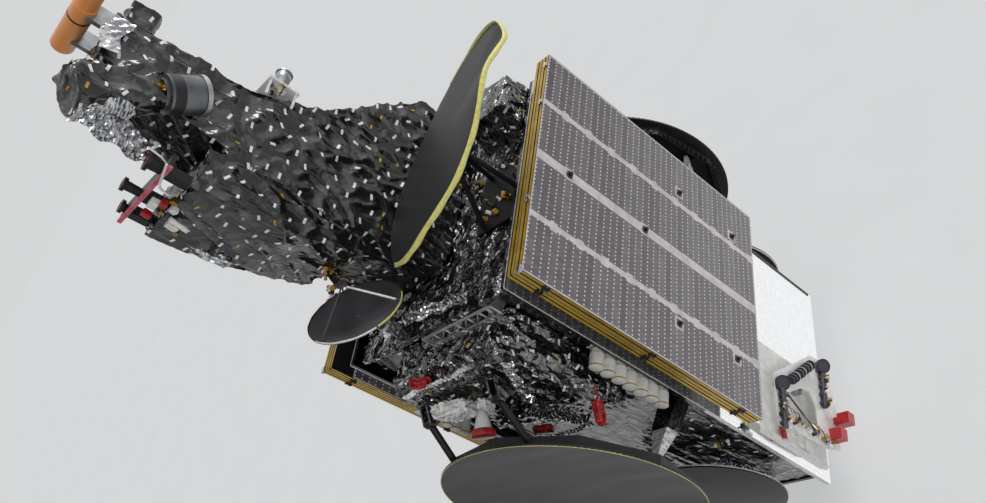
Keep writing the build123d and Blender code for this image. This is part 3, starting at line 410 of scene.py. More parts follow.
def mirrorMaterial():
    # silvered quartz tiles, 40 mm square, bonded side by side: a mirror broken up by thin joints
    # the last two limits mark where the edges are painted dark as painted shade from the wing
    tile = {"size": 0.040, "joint": 0.0011, "pipeBeyond": 1.0065, "filmWithin": 0.993, "filmAbove": 2.25}
    material, tree, shader, place = newMaterial("silveredQuartzTilesBonded", {"Metallic": 1.0})
    apart, across, along, nearest = tilesApart(tree, place, tile["size"], tile["size"])
    joint = addNode(tree, "Math", {"operation": "LESS_THAN", 1: tile["joint"]}, {0: nearest})
    cell = addNode(tree, "VectorMath", {"operation": "SNAP", 1: (1, tile["size"], tile["size"])}, {0: place})
    dice = addNode(tree, "TexWhiteNoise", links={"Vector": cell})
    tone = addNode(tree, "Mix", {"data_type": "RGBA", 6: toLinear("#F6F7F8"), 7: toLinear("#FDFEFE")}, {0: dice})
    colour = addNode(tree, "Mix", {"data_type": "RGBA", 7: toLinear("#C2C3C5")}, {0: joint, 6: (tone, 2)})
    wear(tree, shader, dice, rough=(0.05, 0.12))
    warp = addNode(tree, "TexNoise", {"Scale": 1000 / 260, "Detail": 1.0}, {"Vector": place})
    wear(tree, shader, warp, relief=(0.12, 3))
    # the heat pipe that stands out of the tiles is dark, and the panel's edges are painted white
    outward = addNode(tree, "Math", {"operation": "ABSOLUTE"}, {0: (apart, "X")})
    pipe = addNode(tree, "Math", {"operation": "GREATER_THAN", 1: tile["pipeBeyond"]}, {0: outward})
    facing = addNode(tree, "SeparateXYZ", links={"Vector": (place[0], "Normal")})
    flat = addNode(tree, "Math", {"operation": "ABSOLUTE"}, {0: (facing, "X")})
    edge = addNode(tree, "Math", {"operation": "LESS_THAN", 1: 0.5}, {0: flat})
    # beside the wing only a thin white line shows there; the rest, deeper in and above 2.25 m, is painted near black as
    # painted shade cast by the wing
    inner = addNode(tree, "Math", {"operation": "LESS_THAN", 1: tile["filmWithin"]}, {0: outward})
    upper = addNode(tree, "Math", {"operation": "GREATER_THAN", 1: tile["filmAbove"]}, {0: (apart, "Z")})
    shadeUnderWing = addNode(tree, "Math", {"operation": "MULTIPLY"}, {0: inner, 1: upper})
    speckle = addNode(tree, "TexNoise", {"Scale": 1000 / 12, "Detail": 3.0}, {"Vector": place})
    speckles = addNode(tree, "ValToRGB", links={"Fac": speckle})
    ramp = speckles.color_ramp
    ramp.elements[0].position, ramp.elements[1].position = 0.38, 0.5
    ramp.elements[0].color, ramp.elements[1].color = toLinear("#8A8B8C"), toLinear("#E9E9E8")
    edged = addNode(tree, "Mix", {"data_type": "RGBA"}, {0: edge, 6: (colour, 2), 7: speckles})
    # the dark colour below is the heat pipe's own paint and, beside the wing, painted shade
    pipeOrShade = addNode(tree, "Math", {"operation": "MAXIMUM"}, {0: pipe, 1: shadeUnderWing})
    addNode(tree, "Mix", {"data_type": "RGBA", 7: toLinear("#1D1D1F")}, {0: pipeOrShade, 6: (edged, 2)},
            {"Base Color": (shader, 2)})
    # edges and pipe are paint, not metal, and even the tiles scatter a little light
    dull = addNode(tree, "Math", {"operation": "MAXIMUM"}, {0: edge, 1: pipe})
    addNode(tree, "MapRange", {"To Min": 0.93, "To Max": 0.0}, {"Value": dull}, {"Metallic": shader})
    return material


def cellMaterial():
    # gallium arsenide cells under cover glass, 38 by 75 mm with cropped corners where the bright
    # interconnects show; each cell and each column of cells came out a little different in tint
    cell = {"wide": 0.038, "long": 0.0755, "corner": 0.0088, "gap": 0.0012, "column": 0.56}
    material, tree, shader, place = newMaterial("galliumArsenideCellsGlassed",
                                                {"IOR": 1.45, "Coat Weight": 0.5, "Coat Roughness": 0.12})
    apart, across, along, nearest = tilesApart(tree, place, cell["wide"], cell["long"])
    both = addNode(tree, "Math", {"operation": "ADD"}, {0: across, 1: along})
    corner = addNode(tree, "Math", {"operation": "LESS_THAN", 1: cell["corner"]}, {0: both})
    gap = addNode(tree, "Math", {"operation": "LESS_THAN", 1: cell["gap"]}, {0: nearest})
    dice = []
    for wide in (cell["wide"], cell["column"]):
        snap = addNode(tree, "VectorMath", {"operation": "SNAP", 1: (9, wide, cell["long"])}, {0: place})
        dice.append(addNode(tree, "TexWhiteNoise", links={"Vector": snap}))
    tintCell = addNode(tree, "Mix", {"data_type": "RGBA", 6: toLinear("#5B575B"), 7: toLinear("#6E6A6C")},
                       {0: dice[0]})
    tintColumn = addNode(tree, "Mix", {"data_type": "RGBA", "blend_type": "MULTIPLY", 7: toLinear("#C9C2C6")},
                         {0: dice[1], 6: (tintCell, 2)})
    # large dark patches scattered at random darken the cells in places
    darkPatchNoise = addNode(tree, "TexNoise", {"Scale": 1000 / 420, "Detail": 3.0}, {"Vector": place})
    darkPatches = addNode(tree, "MapRange", {"From Min": 0.62, "From Max": 0.8, "To Max": 0.6}, {"Value": darkPatchNoise})
    patchedTint = addNode(tree, "Mix", {"data_type": "RGBA", 7: toLinear("#343134")}, {0: darkPatches, 6: (tintColumn, 2)})
    lined = addNode(tree, "Mix", {"data_type": "RGBA", 7: toLinear("#504C50")}, {0: gap, 6: (patchedTint, 2)})
    addNode(tree, "Mix", {"data_type": "RGBA", 7: toLinear("#E2DEDC")}, {0: corner, 6: (lined, 2)},
            {"Base Color": (shader, 2)})
    wear(tree, shader, dice[0], rough=(0.22, 0.4))
    return material


def panelMaterial():
    # a wing panel's core and skins: dark laminate skins, edges closed with wrinkled amber film
    panel = {"skinFacing": 0.8, "knuckleBeyond": 1.1025, "studBeyond": 1.2915}
    material, tree, shader, place = newMaterial("carbonSkinAmberEdge", {"Metallic": 0.3})
    facing = addNode(tree, "SeparateXYZ", links={"Vector": (place[0], "Normal")})
    where = addNode(tree, "SeparateXYZ", links={"Vector": place})
    either = None
    for source, limit in (((facing, "X"), panel["skinFacing"]), ((where, "Y"), panel["knuckleBeyond"]),
                          ((where, "X"), panel["studBeyond"])):
        size = addNode(tree, "Math", {"operation": "ABSOLUTE"}, {0: source})
        beyond = addNode(tree, "Math", {"operation": "GREATER_THAN", 1: limit}, {0: size})
        either = addNode(tree, "Math", {"operation": "MAXIMUM", 1: 0.0}, {0: beyond, 1: either})
    patches = addNode(tree, "TexNoise", {"Scale": 1000 / 130, "Detail": 4.0}, {"Vector": place})
    film = addNode(tree, "Mix", {"data_type": "RGBA", 6: toLinear("#8A6512"), 7: toLinear("#F0C848")}, {0: patches})
    addNode(tree, "Mix", {"data_type": "RGBA", 7: toLinear("#1C1C1E")}, {0: either, 6: (film, 2)},
            {"Base Color": (shader, 2)})
    wear(tree, shader, patches, (0.28, 0.5), (0.4, 2))
    return material


def twoPartMaterial(name, first, second, axis, low, high, roughness, metallic, creaseMm=0):
    # one part finished two ways: the second tone where the place along the axis is between low and high
    material, tree, shader, place = newMaterial(name, {"Metallic": metallic})
    where = addNode(tree, "SeparateXYZ", links={"Vector": place})
    size = addNode(tree, "Math", {"operation": "ABSOLUTE"}, {0: (where, axis)})
    above = addNode(tree, "Math", {"operation": "GREATER_THAN", 1: low}, {0: size})
    below = addNode(tree, "Math", {"operation": "LESS_THAN", 1: high}, {0: size})
    within = addNode(tree, "Math", {"operation": "MULTIPLY"}, {0: above, 1: below})
    patches = addNode(tree, "TexNoise", {"Scale": 1000 / 60, "Detail": 4.0}, {"Vector": place})
    tones = [(addNode(tree, "Mix", {"data_type": "RGBA", 6: toLinear(dark), 7: toLinear(light)}, {0: patches}), 2)
             for dark, light in (first, second)]
    addNode(tree, "Mix", {"data_type": "RGBA"}, {0: within, 6: tones[0], 7: tones[1]}, {"Base Color": (shader, 2)})
    wear(tree, shader, patches, rough=(roughness - 0.1, roughness + 0.12))
    relief, strength, high = patches, 0.2, 1
    if creaseMm:
        relief = addNode(tree, "TexVoronoi", {"distance": "MANHATTAN", "Scale": 1000 / creaseMm}, {"Vector": place})
        strength, high = 0.8, creaseMm * 0.25
    wear(tree, shader, relief, relief=(strength, high))
    return material


mirrorTiles = mirrorMaterial()
cellGlass = cellMaterial()
panelSkin = panelMaterial()
# black-oxide mechanisms on a white painted carrier plate
podFinish = twoPartMaterial("blackOxideOnWhitePlate", ("#2B2830", "#4A4550"), ("#CFCFCC", "#EEEEEC"), "X", 1.1640,
                            1.1776, 0.4, 0.1)
# crumpled black film, its outer end in bare aluminised film
wrapTwoTone = twoPartMaterial("filmWrapBlackAndSilver", ("#0A0A0B", "#1A1A1C"), ("#B9BBBE", "#E4E5E6"), "Y", 1.40,
                              9.0, 0.25, 0.35, 45)
print("stage: materials made")

# stage, lights and camera
view = {"place": (4.983, -4.344, 7.689), "right": (0.6590, 0.1259, -0.7415), "up": (0.3671, 0.8067, 0.4631),
        "back": (0.6565, -0.5774, 0.4854), "sensor": 36, "lens": 36 * 840.88 / 986}
light = {"keyLamp": {"strength": 1.6, "from": (0.36, 0.78, 0.52), "spread": 26},
         "fillLamp": {"strength": 0.8, "from": (0.62, -0.62, 0.5), "spread": 22},
         "sky": 0.5, "backdrop": "#F2F3F4", "backdropLow": "#3E3F41", "seen": "#D5D6D7"}

cameraData = bpy.data.cameras.new("photoCamera")
cameraData.sensor_fit = "HORIZONTAL"
cameraData.sensor_width = view["sensor"]
cameraData.lens = view["lens"]
cameraData.clip_end = 200
camera = bpy.data.objects.new("photoCamera", cameraData)
scene.collection.objects.link(camera)
camera.matrix_world = placeOf(view["place"], view["right"], view["up"], view["back"])
scene.camera = camera

for name in ("keyLamp", "fillLamp"):
    lampData = bpy.data.lights.new(name, "SUN")
    lampData.energy = light[name]["strength"]
    lampData.angle = math.radians(light[name]["spread"])
    lamp = bpy.data.objects.new(name, lampData)
    scene.collection.objects.link(lamp)
    lamp.matrix_world = placeOn((0, 0, 12), light[name]["from"])


def seenDirectly(tree):    # the rays that meet a thing by eye, in a mirror or through glass
    rays = addNode(tree, "LightPath")
    seen = addNode(tree, "Math", {"operation": "MAXIMUM"}, {0: (rays, "Is Camera Ray"), 1: (rays, "Is Glossy Ray")})
    return rays, addNode(tree, "Math", {"operation": "MAXIMUM"}, {0: seen, 1: (rays, "Is Transmission Ray")})


world = bpy.data.worlds.new("studio")
scene.world = world
world.use_nodes = True
sky = world.node_tree
background = sky.nodes["Background"]
skyPlace = addNode(sky, "TexCoord")
rise = addNode(sky, "VectorMath", {"operation": "DOT_PRODUCT", 1: light["keyLamp"]["from"]},
               {0: (skyPlace, "Generated")})
blend = addNode(sky, "MapRange", {"From Min": -0.7, "From Max": 0.6}, {"Value": (rise, "Value")})
skyColour = addNode(sky, "Mix", {"data_type": "RGBA", 6: toLinear(light["backdropLow"]),
                                 7: toLinear(light["backdrop"])}, {0: blend})
skyRays, skySeen = seenDirectly(sky)
addNode(sky, "MapRange", {"To Min": light["sky"], "To Max": 1.0}, {"Value": skySeen}, {"Strength": background})
addNode(sky, "Mix", {"data_type": "RGBA", 7: toLinear(light["seen"])},
        {0: (skyRays, "Is Camera Ray"), 6: (skyColour, 2)}, {"Color": (background, 2)})

# in reflections the floor is bright round the satellite and dark further off, like a lit hall
floorLook = {"size": 160, "brightTo": 3.0, "darkFrom": 16.0, "bright": 1.28, "dark": 0.5, "seen": 0.55,
             "reflected": 0.35}
clearSelection()
bpy.ops.mesh.primitive_grid_add(x_subdivisions=4, y_subdivisions=4, size=floorLook["size"], location=(0, 0, 0))
floor = bpy.context.object
floor.name = "studioFloor"
floorMaterial, floorTree, floorShader, floorPlace = newMaterial("studioFloorRolled", {"Roughness": 0.8})
mottle(floorTree, floorPlace, floorShader, "#DADBDC", "#E0E1E2", 900)
floorRays, floorSeen = seenDirectly(floorTree)
floorAway = addNode(floorTree, "VectorMath", {"operation": "LENGTH"}, {0: floorPlace})
floorFall = addNode(floorTree, "MapRange", {"From Min": floorLook["brightTo"], "From Max": floorLook["darkFrom"],
                                            "To Min": floorLook["bright"], "To Max": floorLook["dark"]},
                    {"Value": (floorAway, "Value")})
floorShine = addNode(floorTree, "Mix", {2: 1.0}, {0: (floorRays, "Is Glossy Ray"), 3: floorFall})
floorGlow = addNode(floorTree, "Emission", {"Color": toLinear("#E4E5E6")}, {"Strength": floorShine})
share = addNode(floorTree, "Math", {"operation": "MULTIPLY", 1: floorLook["seen"]}, {0: floorSeen})
shareAll = addNode(floorTree, "Math", {"operation": "MULTIPLY_ADD", 1: floorLook["reflected"]},
                   {0: (floorRays, "Is Glossy Ray"), 2: share})
addNode(floorTree, "MixShader", links={0: shareAll, 1: floorShader, 2: floorGlow},
        into={"Surface": floorTree.nodes["Material Output"]})
floor.data.materials.append(floorMaterial)
print("stage: lights, floor and camera set")

# finishes of the CAD nodes that stay
nodeFinish = {
    bareAluminium: ["telemetry_horn", "adapter_ring", "east_bracket", "west_aft_bracket", "east_aft_bracket",
                    "orange_cradle", "steerable_yoke", "west_truss",
                    "north_hold_downs", "south_hold_downs", "north_drive", "south_drive",
                    "north_pod_gimbal", "south_pod_gimbal"],
    laminate: ["west_reflector", "east_reflector", "west_aft_reflector", "east_aft_reflector", "oval_reflector",
               "oval_stand", "north_yoke", "south_yoke"],
    laminateWorn: ["steerable_dish"],
    mirrorTiles: ["north_radiator", "south_radiator"],
    whitePaint: ["north_canisters", "south_canisters", "telemetry_frame", "west_side_horn",
                 "north_pod_base", "south_pod_base"],
    orangeCover: ["orange_horn"],
    blackPaint: ["aft_deck", "west_feed_cluster"],
    greyHorn: ["east_feed_horn"],
    podFinish: ["north_thrusters", "south_thrusters"],
    redCover: ["north_pod_covers", "south_pod_covers"],
    nozzleAlloy: ["apogee_engine"],
    panelSkin: [f"{side}_panel_{k}" for side in ("north", "south") for k in (1, 2, 3, 4)],
    wrapBlack: ["west_bracket", "steerable_base"],
    wrapTwoTone: ["release_brackets"],
}
for material, names in nodeFinish.items():
    for name in names:
        nodes[name].data.materials.clear()
        nodes[name].data.materials.append(material)
print("stage: CAD nodes finished")


# black blankets: each is its nodes' own skin, remeshed and pushed about in layers of folds
def copyNodes(names, newName):
    copies = []
    for name in names:
        copy = bpy.data.objects.new(name + "Copy", nodes[name].data.copy())
        scene.collection.objects.link(copy)
        copies.append(copy)
    return mergeDoubles(joinPieces(copies, newName))


ridges = {"distance_metric": "DISTANCE", "weight_1": 1.0, "weight_2": 0.0}
valleys = {"distance_metric": "DISTANCE", "weight_1": -1.0, "weight_2": 1.0}
runs = {"musgrave_type": "RIDGED_MULTIFRACTAL", "octaves": 1, "lacunarity": 2.0, "dimension_max": 1.0,
        "noise_intensity": 0.6}
foldLayers = {
    "sag": ("CLOUDS", {"noise_basis": "BLENDER_ORIGINAL", "noise_depth": 1}, 0.42, 0.07, (1, 1, 1.8), 0.55),
    "folds": ("MUSGRAVE", runs, 0.21, 0.045, (0.6, 0.6, 4.0), 0.5),
    "pleats": ("MUSGRAVE", runs, 0.09, 0.022, (2.6, 0.6, 0.9), 0.5),
    "facets": ("VORONOI", ridges, 0.13, 0.045, (1, 0.8, 1.6), 0.35),
    "creases": ("VORONOI", valleys, 0.19, 0.035, (0.5, 0.8, 1.7), 0.4),
    "crinkle": ("VORONOI", ridges, 0.055, 0.014, (1, 0.7, 1.3), 0.35),
}
# gussets fill the gaps that the film spans, and shows says where a tape tab can be seen
blankets = {
    "towerBlanket": {"nodes": ["tower", "west_feed_arm", "horn_arm", "top_unit"], "voxel": 0.0145,
                     "film": satinFilm, "seed": 3, "tabGap": 0.108, "shows": lambda spot, normal: spot.z > 4.56,
                     "gussets": [((0.62, 0.30, 1.16), (-0.24, -0.60, 5.98)), ((0.50, 0.20, 0.5), (-0.28, -0.60, 5.55))],
                     "layers": {"sag": 0.9, "folds": 1.2, "pleats": 0.35, "facets": 0.12, "crinkle": 0.12}},
    "deckBlanket": {"nodes": ["earth_deck", "deck_unit"], "voxel": 0.018, "film": blackFilm, "seed": 7,
                    "tabGap": 0.125, "shows": lambda spot, normal: normal.z > -0.5,
                    "layers": {"sag": 0.15, "creases": 0.6, "facets": 0.5, "pleats": 0.4, "crinkle": 0.5}},
    "busBlanket": {"nodes": ["bus_body"], "voxel": 0.028, "film": satinFilm, "seed": 11, "tabGap": 0.125,
                   "shows": lambda spot, normal: abs(spot.x) < 0.93 and spot.z > 0.42,
                   "layers": {"sag": 0.3, "creases": 0.5, "facets": 0.3}},
    "westModuleBlanket": {"nodes": ["west_module"], "voxel": 0.0165, "film": blackFilm, "seed": 13,
                          "tabGap": 0.125, "shows": lambda spot, normal: abs(spot.y) > 1.02,
                          "layers": {"sag": 0.5, "creases": 1.5, "facets": 1.0, "pleats": 1.2, "crinkle": 0.6}},
    "eastModuleBlanket": {"nodes": ["east_module"], "voxel": 0.022, "film": blackFilm, "seed": 17,
                          "tabGap": 0.125, "shows": lambda spot, normal: abs(spot.y) > 1.02,
                          "layers": {"sag": 0.4, "creases": 1.0, "facets": 0.9, "pleats": 0.7, "crinkle": 1.0}},
}
for name, plan in blankets.items():
    blanket = copyNodes(plan["nodes"], name)
    gussets = [addBlock(size, Matrix.Translation(middle), 0.03) for size, middle in plan.get("gussets", [])]
    if gussets:
        blanket = joinPieces([blanket] + gussets, name)
    remesh(blanket, plan["voxel"])
    layers = []
    for key, share in plan["layers"].items():
        kind, settings, size, push, stretch, middle = foldLayers[key]
        layers.append((kind, settings, size, push * share, stretch, middle))
    smoothBy(crumple(blanket, layers, plan["seed"]), 42)
    plan["made"] = finishPiece(blanket, name, "bus", plan["film"], plan["nodes"])
    print("stage:", name, len(blanket.data.polygons), "faces")


# tape tabs over the blankets
def surfaceSpots(obj, gap, count, seed, keep=None):
    # places spread evenly over a crumpled surface, at least gap apart
    draw = random.Random(seed)
    mesh = obj.data
    mesh.calc_loop_triangles()
    triangles = [(t.vertices[:], t.normal.copy()) for t in mesh.loop_triangles]
    weights = [t.area for t in mesh.loop_triangles]
    cells, found = {}, []
    for corners, normal in draw.choices(triangles, weights, k=count):
        a, b, c = (mesh.vertices[i].co for i in corners)
        s, t = draw.random(), draw.random()
        if s + t > 1:
            s, t = 1 - s, 1 - t
        spot = a + (b - a) * s + (c - a) * t
        if keep and not keep(spot, normal):
            continue
        key = tuple(int(math.floor(x / gap)) for x in spot)
        near = (q for dx in (-1, 0, 1) for dy in (-1, 0, 1) for dz in (-1, 0, 1)
                for q in cells.get((key[0] + dx, key[1] + dy, key[2] + dz), ()))
        if any((spot - q).length < gap for q in near):
            continue
        cells.setdefault(key, []).append(spot)
        found.append((spot, normal))
    return found


tab = {"long": 0.050, "wide": 0.021, "proud": 0.0022, "thick": 0.0008, "tries": 5200, "whiteShare": 0.87,
       "amberScale": 0.8, "along": Vector((0, 0, 1))}


def addTabs(carrier, spots, name, material, seed, scale=1.0):
    draw = random.Random(seed)
    clearSelection()
    bpy.ops.mesh.primitive_grid_add(x_subdivisions=3, y_subdivisions=1, size=1)
    model = bpy.context.object
    model.scale = (tab["long"] * scale, tab["wide"] * scale, 1)
    applyPlace(model)
    places = []
    for spot, normal in spots:
        side = normal.cross(tab["along"])
        if side.length < 0.2:
            side = normal.cross(Vector((1, 0, 0)))
        # most tabs lie about level, and one in five lies anyhow
        angle = draw.gauss(0, 0.3) if draw.random() < 0.8 else draw.uniform(0, math.pi)
        long = Matrix.Rotation(angle, 3, normal) @ side.normalized()
        places.append(placeOf(spot + normal * 0.004, long, normal.cross(long), normal))
    tabs = copiesOf(model, places, name)
    lay = tabs.modifiers.new("lay", "SHRINKWRAP")
    lay.target = carrier
    lay.wrap_method = "NEAREST_SURFACEPOINT"
    lay.wrap_mode = "ABOVE_SURFACE"
    lay.offset = tab["proud"]
    thicken(tabs, tab["thick"], 0)
    return finishPiece(tabs, name, "bus", material)


for k, (name, plan) in enumerate(blankets.items()):
    spots = surfaceSpots(plan["made"], plan["tabGap"], tab["tries"], 40 + k, plan["shows"])
    draw = random.Random(80 + k)
    draw.shuffle(spots)
    split = int(len(spots) * tab["whiteShare"])
    addTabs(plan["made"], spots[:split], name + "WhiteTabs", whiteTape, 60 + k)
    addTabs(plan["made"], spots[split:], name + "AmberTabs", amberTape, 70 + k, tab["amberScale"])
    print("stage: tabs on", name, len(spots))

# solar wings: a pale band sheet on each face, and strips of cells over it
wing = {"low": 1.872, "high": 4.700, "half": 1.10, "rim": 0.016, "sheet": 0.0012, "cells": 0.0010, "strings": 10,
        "cell": 0.0755, "faces": {1: (1.148, -1), 2: (1.211, 1), 3: (1.224, -1), 4: (1.287, 1)},
        "bands": [(0.560, 0.027, 0.017), (0.0, 0.046, 0.0), (-0.575, 0.027, 0.017)], "bare": 4.46,
        "cups": [(0, 4.34), (0, 3.44), (0.69, 2.99), (-0.69, 2.99), (0.66, 2.205), (-0.66, 2.205)], "cupsOn": 1.2893,
        "clips": (0.54, -0.459, 0.97)}
for side, sign in sides.items():
    for k, (faceX, outward) in wing["faces"].items():
        high = wing["bare"] if k == 1 else wing["high"] - wing["rim"]    # the innermost face ends in a bare border
        low = wing["low"] + wing["rim"]
        sheetX = sign * (faceX + outward * wing["sheet"] / 2)
        sheet = addBlock((wing["sheet"], 2 * (wing["half"] - 0.006), high - low + 0.02),
                         Matrix.Translation((sheetX, 0, (low + high) / 2)), 0)
        finishPiece(sheet, f"{side}BandSheet{k}", f"{side}_panel_{k}", bandFilm)
        strips = []
        x = sign * (faceX + outward * (wing["sheet"] + wing["cells"] / 2))
        strings = max(1, round((high - low) / (wing["high"] - wing["low"]) * wing["strings"]))
        for strip in range(4):
            for string in range(strings):
                start = low + (high - low) * string / strings
                stop = low + (high - low) * (string + 1) / strings
                # one column of each string is a cell short, which widens the band there
                for first, last, short in ((start, start + wing["cell"], 1), (start + wing["cell"], stop, 0)):
                    top, bottom = wing["half"] - 0.020, -wing["half"] + 0.020
                    if strip > 0:
                        centre, half, jag = wing["bands"][strip - 1]
                        top = centre - half - jag * short
                    if strip < 3:
                        centre, half, jag = wing["bands"][strip]
                        bottom = centre + half + jag * short
                    strips.append(addBlock((wing["cells"], top - bottom, last - first),
                                           Matrix.Translation((x, (top + bottom) / 2, (first + last) / 2)), 0))
        finishPiece(joinPieces(strips, "cells"), f"{side}CellStrips{k}", f"{side}_panel_{k}", cellGlass)
    # hold-down cups on the outer face: a square seat, a dark cup and its lip
    cup = addTurned([(0.0, 0.0), (0.034, 0.0), (0.036, 0.004), (0.031, 0.010), (0.0, 0.010)], upright, 12)
    cups = copiesOf(cup, [placeOn((sign * wing["cupsOn"], y, z), (sign, 0, 0)) for y, z in wing["cups"]], "cups")
    finishPiece(cups, f"{side}HoldDownCups", f"{side}_panel_4", blackPaint)
    # clips over the stack's Earth edge, on the outer panel only so that the stack can open
    clip = joinPieces([addBlock((0.030, 0.035, 0.020), Matrix.Translation((sign * 1.274, 0, 4.706)), 0.004),
                       addRod([(sign * 1.262, -0.03, 4.712), (sign * 1.262, 0.03, 4.712)], 0.006)], "clip")
    clips = [copiesOf(clip, [Matrix.Translation((0, y, 0)) for y in wing["clips"]], "clips"),
             addBlock((0.034, 0.06, 0.03), Matrix.Translation((sign * 1.272, -1.085, 4.700)), 0.006)]
    finishPiece(joinPieces(clips, "clips"), f"{side}EdgeClips", f"{side}_panel_4", bareAluminium)
    print("stage: wing", side)

# rims of the reflectors; the oval's edge stands off its plane by (degrees round, spread, m)
oval = {"long": 1.03, "short": 0.56, "voxel": 0.009,
        "shape": [(290, 17, 0.058), (322, 13, -0.030), (250, 22, -0.022), (120, 30, 0.025)]}


def ovalLift(turn):
    # how far the oval reflector's rim stands off a plane at this angle
    return sum(lift * math.exp(-(((math.degrees(turn) - middle + 180) % 360 - 180) / spread) ** 2)
               for middle, spread, lift in oval["shape"])


def addRimTape(name, rimTape):
    # tape folded over a shell's edge, laid by hand so it waves a little
    radius, squeeze, lift = rimTape["radius"], rimTape.get("squeeze", (1, 1)), rimTape.get("lift")
    clearSelection()
    bpy.ops.mesh.primitive_torus_add(major_radius=radius, minor_radius=radius * 0.05, major_segments=144,
                                     minor_segments=8)
    rim = bpy.context.object
    draw = random.Random(rimTape["seed"])
    phases = [(draw.randint(*count), draw.uniform(0, 6)) for count in ((3, 5), (7, 11), (13, 19))]
    for vertex in rim.data.vertices:
        turn = math.atan2(vertex.co.y, vertex.co.x)
        out = (math.hypot(vertex.co.x, vertex.co.y) - radius) / (radius * 0.05)
        high = vertex.co.z / (radius * 0.05)
        sway = sum(math.sin(n * turn + f) / (1 + 0.4 * k) for k, (n, f) in enumerate(phases)) * rimTape["wave"]
        width = 1 + 0.1 * math.sin(phases[2][0] * turn + 1)
        if lift:
            sway += lift(turn)
        vertex.co = (math.cos(turn) * (radius * squeeze[0] + out * rimTape["thick"]),
                     math.sin(turn) * (radius * squeeze[1] + out * rimTape["thick"]),
                     high * rimTape["depth"] * width + sway)
    if "arcs" in rimTape:
        bpy.ops.object.mode_set(mode="EDIT")
        bpy.ops.mesh.select_mode(type="FACE")
        bpy.ops.mesh.select_all(action="DESELECT")
        bpy.ops.object.mode_set(mode="OBJECT")
        for polygon in rim.data.polygons:
            turn = math.degrees(math.atan2(polygon.center.y, polygon.center.x)) % 360
            polygon.select = not any(a <= turn <= b for a, b in rimTape["arcs"])
        bpy.ops.object.mode_set(mode="EDIT")
        bpy.ops.mesh.delete(type="FACE")
        bpy.ops.mesh.select_mode(type="VERT")
        bpy.ops.mesh.select_all(action="SELECT")
        bpy.ops.mesh.fill_holes(sides=0)
        bpy.ops.object.mode_set(mode="OBJECT")
    rim.matrix_world = rimTape["place"]
    smoothBy(applyPlace(rim), 60)
    return finishPiece(rim, name, rimTape["on"], rimTape["tape"])


ovalLong = Vector((0.372, 0.927, 0.051)).normalized()
ovalNormal = Vector((-0.176, 0.016, 0.984))
ovalNormal = (ovalNormal - ovalLong * ovalNormal.dot(ovalLong)).normalized()
ovalPlace = placeOf((0.908, -0.058, 5.27), ovalLong, ovalNormal.cross(ovalLong), ovalNormal)
addRimTape("ovalRimTape", {"on": "bus", "place": ovalPlace, "radius": 1.0, "thick": 0.012, "wave": 0.0035,
                           "depth": 0.021, "seed": 5, "tape": yellowTape, "arcs": [(178, 360), (0, 36)],
                           "squeeze": (oval["long"], oval["short"]), "lift": ovalLift})
# its surface is shaped, so the edge waves while the middle stays on the stand
shell = copyNodes(["oval_reflector"], "ovalShell")
shell.data.transform(ovalPlace.inverted())
remesh(shell, oval["voxel"])
for vertex in shell.data.vertices:
    x, y = vertex.co.x / oval["long"], vertex.co.y / oval["short"]
    vertex.co.z += ovalLift(math.atan2(y, x)) * min(math.hypot(x, y), 1.05) ** 3
shell.data.transform(ovalPlace)
smoothBy(shell, 40)
finishPiece(shell, "ovalShell", "bus", laminate, ["oval_reflector"])

steer = {"middle": Vector((-0.26, -1.03, 5.06)), "out": Vector((0.4, 0.35, 0.85)).normalized(), "focus": 0.25,
         "edge": 0.392, "strutTurn": math.radians(10)}
steerAcross = Vector((0, 1, 0)).cross(steer["out"]).normalized()
steerPlace = placeOf(steer["middle"], steerAcross, steer["out"].cross(steerAcross), steer["out"])
steerRim = {"on": "steerable_dish", "place": steerPlace, "radius": 0.398, "wave": 0.001}
rimTapes = {
    "westRimTape": {"on": "west_reflector", "place": placeOn((0.02, -1.8665, 2.80), (0, -1, 0)), "radius": 1.1165,
                    "thick": 0.0035, "wave": 0.0, "depth": 0.007, "seed": 6, "tape": yellowTape},
    "eastRimTape": {"on": "east_reflector", "place": placeOn((0, 1.7565, 2.42), (0, 1, 0)), "radius": 1.1765,
                    "thick": 0.0035, "wave": 0.0, "depth": 0.010, "seed": 7, "tape": yellowTape},
    "westAftRim": {"on": "west_aft_reflector", "place": placeOn((0.15, -1.247, 1.04), (0, -1, 0)), "radius": 0.698,
                   "thick": 0.004, "wave": 0.0, "depth": 0.007, "seed": 8, "tape": bandFilm},
    "eastAftRim": {"on": "east_aft_reflector", "place": placeOn((0.25, 1.247, 1.04), (0, 1, 0)), "radius": 0.698,
                   "thick": 0.004, "wave": 0.0, "depth": 0.007, "seed": 9, "tape": bandFilm},
    "steerableRimTape": {**steerRim, "thick": 0.006, "depth": 0.009, "seed": 10, "tape": yellowTape,
                         "arcs": [(322, 360), (0, 28)]},
    "steerableRimWhite": {**steerRim, "thick": 0.005, "depth": 0.008, "seed": 12, "tape": whiteTape,
                          "arcs": [(240, 321)]},
    "steerableRimDark": {**steerRim, "thick": 0.004, "depth": 0.007, "seed": 13, "tape": blackPaint,
                         "arcs": [(29, 239)]},
}
for name, rimTape in rimTapes.items():
    addRimTape(name, rimTape)
focus = steer["middle"] + steer["out"] * steer["focus"]
edge = steerPlace @ (Vector((math.cos(steer["strutTurn"]), math.sin(steer["strutTurn"]), 0)) * steer["edge"])
sleeve = addRod([edge.lerp(focus, 0.08), edge.lerp(focus, 0.92)], 0.0095, 12)
finishPiece(sleeve, "steerableStrutSleeve", "steerable_dish", whiteTape)
print("stage: rims taped")


